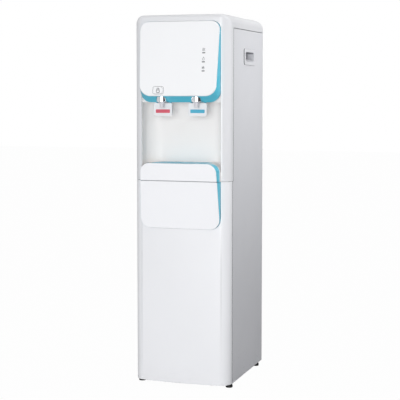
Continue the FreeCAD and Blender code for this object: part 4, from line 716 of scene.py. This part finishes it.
@dataclass
class Mark:
    """A printed mark, drawn as bands on a plane."""

    plane: Plane
    lift: float = 0.00025
    film: float = 0.00022
    points: list = field(default_factory=list)
    faces: list = field(default_factory=list)

    def _add(self, flat: Array, around: bool) -> None:
        """Adds one grid to the mark.

        Args:
            flat: Its points as (u, v), in rows and columns.
            around: Whether its rows close on themselves.
        """
        rows, columns = flat.shape[:2]
        start = sum(len(part) for part in self.points)
        self.points.append(self.plane.at(flat, self.lift).reshape(-1, 3))
        self.faces.append(MAKER.grid_faces(rows, columns, around) + start)

    def band(self, path: Array, wide: float, closed: bool = False) -> None:
        """Adds a line of even width: the path plus and minus half the width along its normal.

        Args:
            path: Points of the line as (u, v).
            wide: The line's width.
            closed: Whether it ends where it starts.
        """
        step = np.roll(path, -1, 0) - np.roll(path, 1, 0) if closed else np.gradient(path, axis=0)
        normal = np.stack((-step[:, 1], step[:, 0]), -1)
        normal /= np.linalg.norm(normal, axis=1, keepdims=True)
        across = np.array((-0.5, 0.5))[:, None, None] * wide
        self._add(path[None] + across * normal[None], closed)

    def piece(self, name: str, finish: Finish, body: str) -> None:
        """Makes the mark a piece with the thickness of its film."""
        points, faces = np.concatenate(self.points), np.concatenate(self.faces)
        MAKER.finish(MAKER.put(name, points, faces, self.film), finish, body)


def turn(count: int) -> Array:
    """Evenly spaced angles round a full turn."""
    return np.linspace(0.0, 2.0 * math.pi, count, endpoint=False)


def oval(half_wide: float, half_tall: float, power: float, count: int = 48) -> Array:
    """A rounded rectangle as a superellipse: |u / a| ^ n + |v / b| ^ n = 1.

    Args:
        half_wide: Half its width, a.
        half_tall: Half its height, b.
        power: The power n; 2 is an ellipse.
        count: Points around it.

    Returns:
        Its edge as (u, v).
    """
    angle = turn(count)
    cos, sin = np.cos(angle), np.sin(angle)
    return np.stack((half_wide * np.sign(cos) * np.abs(cos) ** (2 / power),
                     half_tall * np.sign(sin) * np.abs(sin) ** (2 / power)), -1)


@dataclass
class Cabinet:
    """Shells, side sheets, grips, base and feet."""

    shell_edge: float = 1.2 * MM
    sheet_edge: float = 0.45 * MM
    grip_edge: float = 0.8 * MM
    foot_edge: float = 1.5 * MM
    half_wide: float = 155.0 * MM

    def build(self) -> None:
        """Softens the outer solids and dresses the rest."""
        MAKER.softened("front_upper_shell", SHADED_SHELL, self.shell_edge)
        MAKER.softened("front_lower_panel", LOWER_SHELL, self.shell_edge)
        MAKER.softened("top_cover", SHADED_SHELL, self.shell_edge)
        MAKER.softened("alcove_liner", LINER, 0.0)
        for hand in ("left", "right"):
            sheet = MAKER.softened(f"side_panel_{hand}", SIDE, self.sheet_edge, 2)
            # The sheet's front flange faces get the dark grey as painted shade in the seam with the
            # front shell.
            MAKER.second(sheet, SEAM_SHADE, lambda middles, normals: normals[:, 1] < -0.9)
            grip = MAKER.softened(f"grip_{hand}", GREY_PLASTIC, self.grip_edge)
            # The wall round the grip's flange gets the dark grey as painted shade of the gap round it.
            MAKER.second(grip, SEAM_SHADE, self.flange_wall)
            # The pocket's back wall and ceiling get the darker grey as painted shade.
            MAKER.second(grip, POCKET_SHADE, self.pocket)
        MAKER.softened("feet", RUBBER, self.foot_edge)
        MAKER.softened("base_pan", ZINC, self.sheet_edge, 2)

    def flange_wall(self, middles: Array, normals: Array) -> Array:
        """Picks the narrow wall round a grip's flange, which is painted dark grey as the shade of the
        gap round the flange.

        Args:
            middles: The faces' middles.
            normals: Their normals.

        Returns:
            Which of the faces belong to it.
        """
        outside = np.abs(middles[:, 0]) > self.half_wide
        centre = (middles.min(axis=0) + middles.max(axis=0)) / 2
        away = ((middles - centre)[:, 1:] * normals[:, 1:]).sum(axis=1) > 0
        return outside & away & (np.abs(normals[:, 0]) < 0.3)

    def pocket(self, middles: Array, normals: Array) -> Array:
        """Picks the back wall and the ceiling of a grip's pocket, which get a darker, duller grey as
        painted shade.
        """
        inside = np.abs(middles[:, 0]) < self.half_wide
        return inside & ((np.abs(normals[:, 0]) > 0.9) | (normals[:, 2] < -0.5))


@dataclass
class UpperFascia:
    """The gloss upper panel in its flared cyan surround, with the lock and the indicators."""

    panel_edge: float = 1.6 * MM
    trim_edge: float = 0.6 * MM
    start_y: float = -205.0 * MM
    start_z: float = 903.0 * MM
    rise_z: float = 224.0 * MM
    rise_y: float = 24.5 * MM
    lock_side: float = -62.0 * MM
    lock_rise: float = 15.7 * MM
    lock_proud: float = 1.5 * MM
    lens_side: float = 80.0 * MM
    lens_rise: float = 74.0 * MM
    lens_pitch: float = 27.4 * MM
    glyph_above: float = 10.0 * MM
    glyph: float = 4.8 * MM
    line: float = 1.0 * MM
    lock_edge: float = 0.4 * MM
    lens_edge: float = 0.3 * MM
    body_half: tuple[float, float] = (4.9 * MM, 3.8 * MM)
    body_drop: float = 3.0 * MM
    body_line: float = 1.5 * MM
    body_power: float = 5.0
    bow_radius: float = 3.4 * MM
    bow_rise: float = 3.2 * MM
    bow_leg: float = 2.0 * MM
    bow_line: float = 1.8 * MM
    bow_points: int = 24
    ring_half: tuple[float, float] = (17.2 * MM, 11.7 * MM)
    ring_line: float = 0.8 * MM
    ring_power: float = 6.0
    ring_points: int = 96
    barb: float = 1.5 * MM
    barb_root: float = 0.55
    drop_points: int = 40
    drop_wide: float = 0.9
    wave_gap: float = 0.62
    wave_sway: float = 0.16
    wave_turns: float = 4.5

    def plane(self, side: float, rise: float, proud: float = 0.0) -> Plane:
        """The panel's sloping face at a point.

        Args:
            side: How far the point is to the right of the middle.
            rise: How far it is up the slope.
            proud: How far it stands off the panel.

        Returns:
            The face as a plane with that point as its start.
        """
        along = np.array((0.0, self.rise_y, self.rise_z))
        along /= np.linalg.norm(along)
        across = np.array((1.0, 0.0, 0.0))
        foot = np.array((side, self.start_y, self.start_z))
        return Plane(foot + rise * along + proud * np.cross(across, along), across, along)

    def build(self) -> None:
        """Builds the panel, its surround and everything on it."""
        MAKER.softened("upper_trim", TRIM, self.trim_edge, 2)
        MAKER.softened("upper_panel", PANEL, self.panel_edge, 4)
        MAKER.softened("lock_button", PANEL, self.lock_edge, 2)
        MAKER.softened("indicator_lenses", LENS, self.lens_edge, 2)
        MAKER.dress({"display_board": BOARD, "lock_switch": BLACK_PLASTIC})
        self.padlock()
        glyphs = {"cold_glyph": self.flake, "ready_glyph": self.drip, "hot_glyph": self.flame}
        for index, (name, draw) in enumerate(glyphs.items()):
            rise = self.lens_rise + index * self.lens_pitch + self.glyph_above
            mark = Mark(self.plane(self.lens_side, rise))
            draw(mark)
            mark.piece(name, INK, "cabinet")

    def padlock(self) -> None:
        """Draws the child lock: an outlined body under an arched bow, and the button's outline."""
        mark = Mark(self.plane(self.lock_side, self.lock_rise, self.lock_proud))
        low = np.array((0.0, -self.body_drop))
        mark.band(oval(*self.body_half, self.body_power) + low, self.body_line, closed=True)
        angle = np.linspace(0.0, math.pi, self.bow_points)
        bow = np.stack((self.bow_radius * np.cos(angle),
                        self.bow_radius * np.sin(angle) + self.bow_rise), -1)
        leg = np.array((0.0, -self.bow_leg))
        mark.band(np.concatenate((bow[:1] + leg, bow, bow[-1:] + leg)), self.bow_line)
        mark.piece("padlock_mark", INK, "lock")
        ring = Mark(self.plane(self.lock_side, self.lock_rise))
        edge = oval(*self.ring_half, self.ring_power, self.ring_points)
        ring.band(edge, self.ring_line, closed=True)
        ring.piece("lock_outline", INK, "cabinet")

    def flake(self, mark: Mark) -> None:
        """Draws three crossed bars with short barbs, a snow crystal.

        Args:
            mark: The mark that it is drawn in.
        """
        reach = np.linspace(-self.glyph, self.glyph, 5)
        barb = np.linspace(0.0, self.barb, 3)
        for angle in (0.0, math.pi / 3.0, 2.0 * math.pi / 3.0):
            way = np.array((math.sin(angle), math.cos(angle)))
            mark.band(reach[:, None] * way, self.line)
            for end in (-1.0, 1.0):
                root = end * self.barb_root * self.glyph * way
                for lean in (-1.0, 1.0):
                    slant = np.array((math.sin(angle + lean), math.cos(angle + lean))) * end
                    mark.band(root + barb[:, None] * slant, 0.7 * self.line)

    def drip(self, mark: Mark) -> None:
        """Draws a drop, point upwards: u = -0.9 g sin(t) |sin(t / 2)| ^ 1.6, v = g cos(t).

        Args:
            mark: The mark that it is drawn in.
        """
        angle = turn(self.drop_points)
        wide = self.drop_wide * self.glyph * np.sin(angle) * np.abs(np.sin(angle / 2.0)) ** 1.6
        mark.band(np.stack((-wide, self.glyph * np.cos(angle)), -1), self.line, closed=True)

    def flame(self, mark: Mark) -> None:
        """Draws three rising waves over a bar: u = c + 0.16 g sin(4.5 v / g).

        Args:
            mark: The mark that it is drawn in.
        """
        rise = np.linspace(-0.4 * self.glyph, self.glyph, 16)
        for offset in (-self.wave_gap, 0.0, self.wave_gap):
            sway = self.wave_sway * self.glyph * np.sin(rise / self.glyph * self.wave_turns)
            mark.band(np.stack((offset * self.glyph + sway, rise), -1), self.line)
        bar = np.linspace(-self.glyph, self.glyph, 5)
        mark.band(np.stack((bar, np.full(5, -0.8 * self.glyph)), -1), self.line)


@dataclass
class Taps:
    """Chrome collars, valves, plungers, springs, and the paddles with their strips."""

    paddle_edge: float = 0.9 * MM
    strip_edge: float = 0.3 * MM
    collar_edge: float = 0.5 * MM
    collar_foot: float = 881.5 * MM
    spring_keep: float = 0.33

    def build(self) -> None:
        """Builds both taps."""
        for side in Side:
            collar = MAKER.softened(f"tap_collar_{side.word}", CHROME, self.collar_edge)
            MAKER.second(collar, NOZZLE, lambda middles, normals: middles[:, 2] < self.collar_foot)
            MAKER.dress({f"tap_valve_{side.word}": PANEL, f"tap_plunger_{side.word}": GREY_PLASTIC})
            self.spring(f"tap_spring_{side.word}")
            MAKER.softened(f"paddle_{side.word}", PADDLE, self.paddle_edge)
            strip = HOT_STRIP if side is Side.HOT else COLD_STRIP
            MAKER.softened(f"paddle_strip_{side.word}", strip, self.strip_edge, 2)
        MAKER.dress({"paddle_pins": STEEL})

    def spring(self, node: str) -> None:
        """Stands a softened copy of a tap's spring, with a mesh of its own.

        Args:
            node: The spring's solid.
        """
        coil = MAKER.softened(node, STEEL, 0.0)
        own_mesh(coil)


@dataclass
class LowerFascia:
    """The raised lower panel with its surround, and the drip tray that slides out above it."""

    panel_edge: float = 1.6 * MM
    trim_edge: float = 0.6 * MM
    tray_edge: float = 0.7 * MM
    grille_edge: float = 0.4 * MM
    flare_back: float = -179.2 * MM
    sill_half: float = 126.5 * MM
    sill_nose: float = 6.0 * MM
    sill_front: float = -194.4 * MM
    sill_back: float = -165.2 * MM
    sill_top: float = 641.6 * MM
    sill_gauge: float = 0.5 * MM
    sill_across: int = 25
    sill_along: int = 9

    def build(self) -> None:
        """Builds the panel, the tray's front, the tray, its grille and the sill under it."""
        MAKER.softened("lower_trim", TRIM, self.trim_edge, 2)
        MAKER.softened("raised_panel", LOWER_PANEL, self.panel_edge, 4)
        MAKER.softened("tray_fascia", LOWER_PANEL, self.panel_edge, 4)
        tray = MAKER.softened("drip_tray", TRIM, self.tray_edge, 2)
        MAKER.second(tray, LINER, lambda middles, normals: middles[:, 1] > self.flare_back)
        MAKER.softened("drip_grille", GRILLE, self.grille_edge, 2)
        self.sill()

    def sill(self) -> None:
        """Closes the slit under the tray with the raised panel's upper return.

        It is a level sheet that narrows to the front: x = u (a - n (1 - v)), y = f + (b - f) v.
        """
        u, v = np.meshgrid(np.linspace(-1.0, 1.0, self.sill_across),
                           np.linspace(0.0, 1.0, self.sill_along))
        half = self.sill_half - self.sill_nose * (1.0 - v)
        depth = self.sill_front + (self.sill_back - self.sill_front) * v
        points = np.stack((u * half, depth, np.full_like(u, self.sill_top)), -1).reshape(-1, 3)
        faces = MAKER.grid_faces(self.sill_along, self.sill_across)
        piece = MAKER.put("tray_sill", points, faces, self.sill_gauge)
        MAKER.finish(piece, GREY_PLASTIC, "cabinet")


@dataclass
class BottleTop:
    """The bottle seat with its collar and the probe that opens the bottle's cap."""

    probe_edge: float = 0.4 * MM

    def build(self) -> None:
        """Builds the seat and its probe."""
        MAKER.softened("bottle_seat", SHADED_SHELL, 0.0)
        MAKER.softened("bottle_probe", PANEL, self.probe_edge, 2)


@dataclass
class Waterworks:
    """Tanks, foam, shelves and hoses inside the cabinet."""

    def build(self) -> None:
        """Dresses the tanks and what holds them."""
        MAKER.dress({
            "cold_jacket": FOAM, "hot_jacket": FOAM, "cold_tank": STEEL, "hot_tank": STEEL,
            "tank_lid": GREY_PLASTIC, "cold_shelf": ZINC, "hot_shelf": ZINC,
            "thermostat": BLACK_PLASTIC, "cold_hose": SILICONE, "hot_hose": SILICONE,
        })


@dataclass
class CoolingGear:
    """Compressor, condenser and copper lines in the open back."""

    bead: float = 1.5 * MM
    bead_ripples: int = 96
    bead_points: int = 384
    bead_round: int = 10
    bead_height: float = 104.0 * MM
    bead_ripple: float = 0.12
    bead_stretch: float = 1.3
    pot_radius: float = 64.0 * MM
    edge: float = 1.2 * MM
    strap_edge: float = 0.4 * MM
    gland_edge: float = 0.6 * MM

    def build(self) -> None:
        """Builds the compressor with its weld and dresses the coil and lines."""
        MAKER.softened("compressor", BLACK_PAINT, self.edge)
        MAKER.softened("compressor_grommets", RUBBER, self.edge)
        MAKER.softened("condenser_straps", ZINC, self.strap_edge, 2)
        MAKER.softened("cord_gland", BLACK_PLASTIC, self.gland_edge)
        MAKER.dress({"condenser_tube": BLACK_PAINT, "condenser_wires": BLACK_PAINT,
                     "suction_line": COPPER, "discharge_line": COPPER})
        self.weld()

    def weld(self) -> None:
        """Runs a weld round the compressor's waist.

        The bead is a ring whose small radius ripples, r (1 + 0.12 sin(n t)), carried round the pot's
        radius R: x and y at R + r cos(s) in the direction t, and z at 1.3 r sin(s).
        """
        low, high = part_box("compressor")
        feet_low, feet_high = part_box("compressor_grommets")
        angle = turn(self.bead_points)[None, :]
        section = turn(self.bead_round)[:, None]
        small = self.bead * (1.0 + self.bead_ripple * np.sin(self.bead_ripples * angle))
        reach = self.pot_radius + small * np.cos(section)
        points = np.stack((reach * np.cos(angle) + 0.5 * (low.x + high.x),
                           reach * np.sin(angle) + 0.5 * (feet_low.y + feet_high.y),
                           self.bead_height + self.bead_stretch * small * np.sin(section)), -1)
        faces = MAKER.grid_faces(self.bead_round + 1, self.bead_points, around=True)
        faces = faces % (self.bead_round * self.bead_points)
        piece = MAKER.put("compressor_weld", points.reshape(-1, 3), faces[:, ::-1])
        MAKER.finish(piece, BLACK_PAINT, "cabinet")


@dataclass
class Rear:
    """The recessed rear panel, its switches, its drain and the screws that hold it."""

    screw_radius: float = 3.4 * MM
    screw_height: float = 1.9 * MM
    screw_rings: int = 14
    screw_round: int = 48
    panel_edge: float = 0.4 * MM
    fitting_edge: float = 0.5 * MM
    cap_edge: float = 0.6 * MM
    seat_depth: float = 1.0 * MM
    side_inset: float = 14.0 * MM
    low_inset: float = 90.0 * MM
    high_inset: float = 30.0 * MM
    screw_rows: int = 3
    flange_inset: float = 9.0 * MM
    strap_inset: float = 8.0 * MM
    cross_wide: float = 0.2
    cross_long: float = 0.62
    cross_deep: float = 0.55

    def build(self) -> None:
        """Builds the panel and its fittings."""
        MAKER.softened("rear_panel", ZINC, self.panel_edge, 2)
        fittings = {"switch_housing": BLACK_PLASTIC, "heating_rocker": HOT_STRIP,
                    "cooling_rocker": COLD_STRIP, "drain_outlet": GREY_PLASTIC}
        for node, finish in fittings.items():
            MAKER.softened(node, finish, self.fitting_edge)
        MAKER.softened("drain_cap", GREY_PLASTIC, self.cap_edge)
        self.screws()

    def screws(self) -> None:
        """Places the pan-head screws of the rear panel and of the condenser's straps."""
        low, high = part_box("rear_panel")
        columns = (low.x + self.side_inset, high.x - self.side_inset)
        rows = np.linspace(low.z + self.low_inset, high.z - self.high_inset, self.screw_rows)
        spots = [(x, low.y + self.seat_depth, z) for x in columns for z in rows]
        left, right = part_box("side_panel_left"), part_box("side_panel_right")
        strap_low, strap_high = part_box("condenser_straps")
        ends = (strap_low.z + self.strap_inset, strap_high.z - self.strap_inset)
        for x in (left[0].x + self.flange_inset, right[1].x - self.flange_inset):
            spots += [(x, right[1].y, z) for z in ends]
        squares = MAKER.grid_faces(self.screw_rings, self.screw_round, around=True)
        head = self.screw_rings * self.screw_round
        points = [self.screw(np.array(spot)).reshape(-1, 3) for spot in spots]
        faces = [squares + index * head for index in range(len(spots))]
        piece = MAKER.put("rear_screws", np.concatenate(points), np.concatenate(faces)[:, ::-1])
        MAKER.finish(piece, ZINC, "cabinet")

    def screw(self, spot: Array) -> Array:
        """One pan head that looks backwards, with a cross recess.

        The head is a dome, height h sqrt(1 - (r / R) ^ 4), less a cross: two bars
        exp(-(u / w) ^ 4 - (v / l) ^ 4) at right angles, 0.55 of the height deep.

        Args:
            spot: The middle of its seat.

        Returns:
            The grid of its points.
        """
        share = np.linspace(0.01, 1.0, self.screw_rings)[:, None]
        angle = turn(self.screw_round)[None, :]
        u = self.screw_radius * share * np.cos(angle)
        v = self.screw_radius * share * np.sin(angle)
        wide, length = self.cross_wide * self.screw_radius, self.cross_long * self.screw_radius
        bar = np.exp(-((u / wide) ** 4) - (v / length) ** 4)
        other = np.exp(-((v / wide) ** 4) - (u / length) ** 4)
        dome = self.screw_height * np.sqrt(np.maximum(0.0, 1.0 - share**4)) * np.ones_like(angle)
        height = dome - self.cross_deep * self.screw_height * np.maximum(bar, other)
        return spot + np.stack((-u, height, v), -1)


@dataclass(frozen=True)
class Softbox:
    """A square lamp: where it hangs, the point it looks at, its side, its watts and its spread."""

    name: str
    place: Point
    target: Point
    size: float
    power: float
    spread_degrees: float = 180.0
    mirrored: bool = True

    def build(self) -> None:
        """Hangs the lamp."""
        data = bpy.data.lights.new(self.name, "AREA")
        data.shape = "SQUARE"
        data.size = self.size
        data.energy = self.power
        data.spread = math.radians(self.spread_degrees)
        lamp = bpy.data.objects.new(self.name, data)
        lamp.location = self.place
        lamp.visible_glossy = self.mirrored
        aim = Vector(self.target) - lamp.location
        lamp.rotation_euler = aim.to_track_quat("-Z", "Y").to_euler()
        bpy.context.scene.collection.objects.link(lamp)


SOFTBOXES = (
    Softbox("key_softbox", (0.8, -4.1, 0.75), (0.0, -0.1, 0.7), 2.0, 109.0),
    Softbox("side_softbox", (1.6, 0.45, 1.75), (0.155, 0.0, 0.98), 0.6, 3.6, 64.0, mirrored=False),
    Softbox("top_softbox", (0.0, 0.5, 3.0), (0.0, 0.0, 0.9), 1.4, 2.0),
)


@dataclass
class Studio:
    """The camera at the photograph's angle, soft light and a plain pale floor."""

    eye: Point = (1.1738, -3.4881, 0.9135)
    pitch: float = 4.281
    heading: float = 18.534
    lens: float = 103.44
    sensor: float = 36.0
    shift: float = -0.055
    far: float = 60.0
    floor_half: float = 14.0
    floor_points: int = 9
    surround: float = 0.68
    surround_dark: float = 0.05
    dark_way: Point = (0.94, 0.3, -0.15)
    dark_from: float = 0.1
    dark_full: float = 0.8

    def build(self) -> None:
        """Builds the camera, the floor, the lamps and the surrounding light."""
        self.camera()
        self.floor()
        self.world()
        for softbox in SOFTBOXES:
            softbox.build()
        view = bpy.context.scene.view_settings
        view.view_transform = "Standard"
        view.look = "None"

    def camera(self) -> None:
        """Sets the camera."""
        data = bpy.data.cameras.new("photo_camera")
        data.sensor_fit = "HORIZONTAL"
        data.sensor_width = self.sensor
        data.lens = self.lens
        data.shift_y = self.shift
        data.clip_end = self.far
        camera = bpy.data.objects.new("photo_camera", data)
        camera.location = self.eye
        camera.rotation_euler = (math.radians(90.0 - self.pitch), 0.0, math.radians(self.heading))
        bpy.context.scene.collection.objects.link(camera)
        bpy.context.scene.camera = camera

    def floor(self) -> None:
        """Lays the floor as a flat grid, z = 0."""
        side = np.linspace(-self.floor_half, self.floor_half, self.floor_points)
        u, v = np.meshgrid(side, side)
        points = np.stack((u, v, np.zeros_like(u)), -1).reshape(-1, 3)
        faces = MAKER.grid_faces(self.floor_points, self.floor_points)
        floor = MAKER.put("studio_floor", points, faces, 0.0)
        floor.data.materials.append(FLOOR.material)

    def world(self) -> None:
        """Surrounds the scene with white light that falls off to the right and the rear."""
        world = bpy.data.worlds.new("studio_world")
        tree = Tree(world)
        white = (1.0, 1.0, 1.0)
        place = tree.node("TexCoord", {}).outputs["Generated"]
        way = tree.node("VectorMath", {0: place, 1: self.dark_way}, operation="DOT_PRODUCT")
        levels = {"Value": way.outputs["Value"], "From Min": self.dark_from, "From Max": self.dark_full,
                  "To Min": self.surround, "To Max": self.surround_dark}
        fall = tree.node("MapRange", levels, interpolation_type="SMOOTHSTEP")
        around = tree.node("Background", {"Color": white, "Strength": fall.outputs[0]})
        backdrop = tree.node("Background", {"Color": white})
        seen = tree.node("LightPath", {}).outputs["Is Camera Ray"]
        sockets = {0: seen, 1: around.outputs[0], 2: backdrop.outputs[0]}
        both = tree.node("MixShader", sockets)
        tree.node("OutputWorld", {"Surface": both.outputs[0]})
        bpy.context.scene.world = world


def main() -> None:
    """Builds the studio and every sub-assembly in order."""
    logging.basicConfig(level=logging.INFO, format="%(name)s: %(message)s")
    for kind in (Studio, Cabinet, UpperFascia, Taps, LowerFascia, BottleTop, Waterworks,
                 CoolingGear, Rear):
        kind().build()
        log.info("built %s", kind.__name__)


if __name__ == "__main__":
    main()
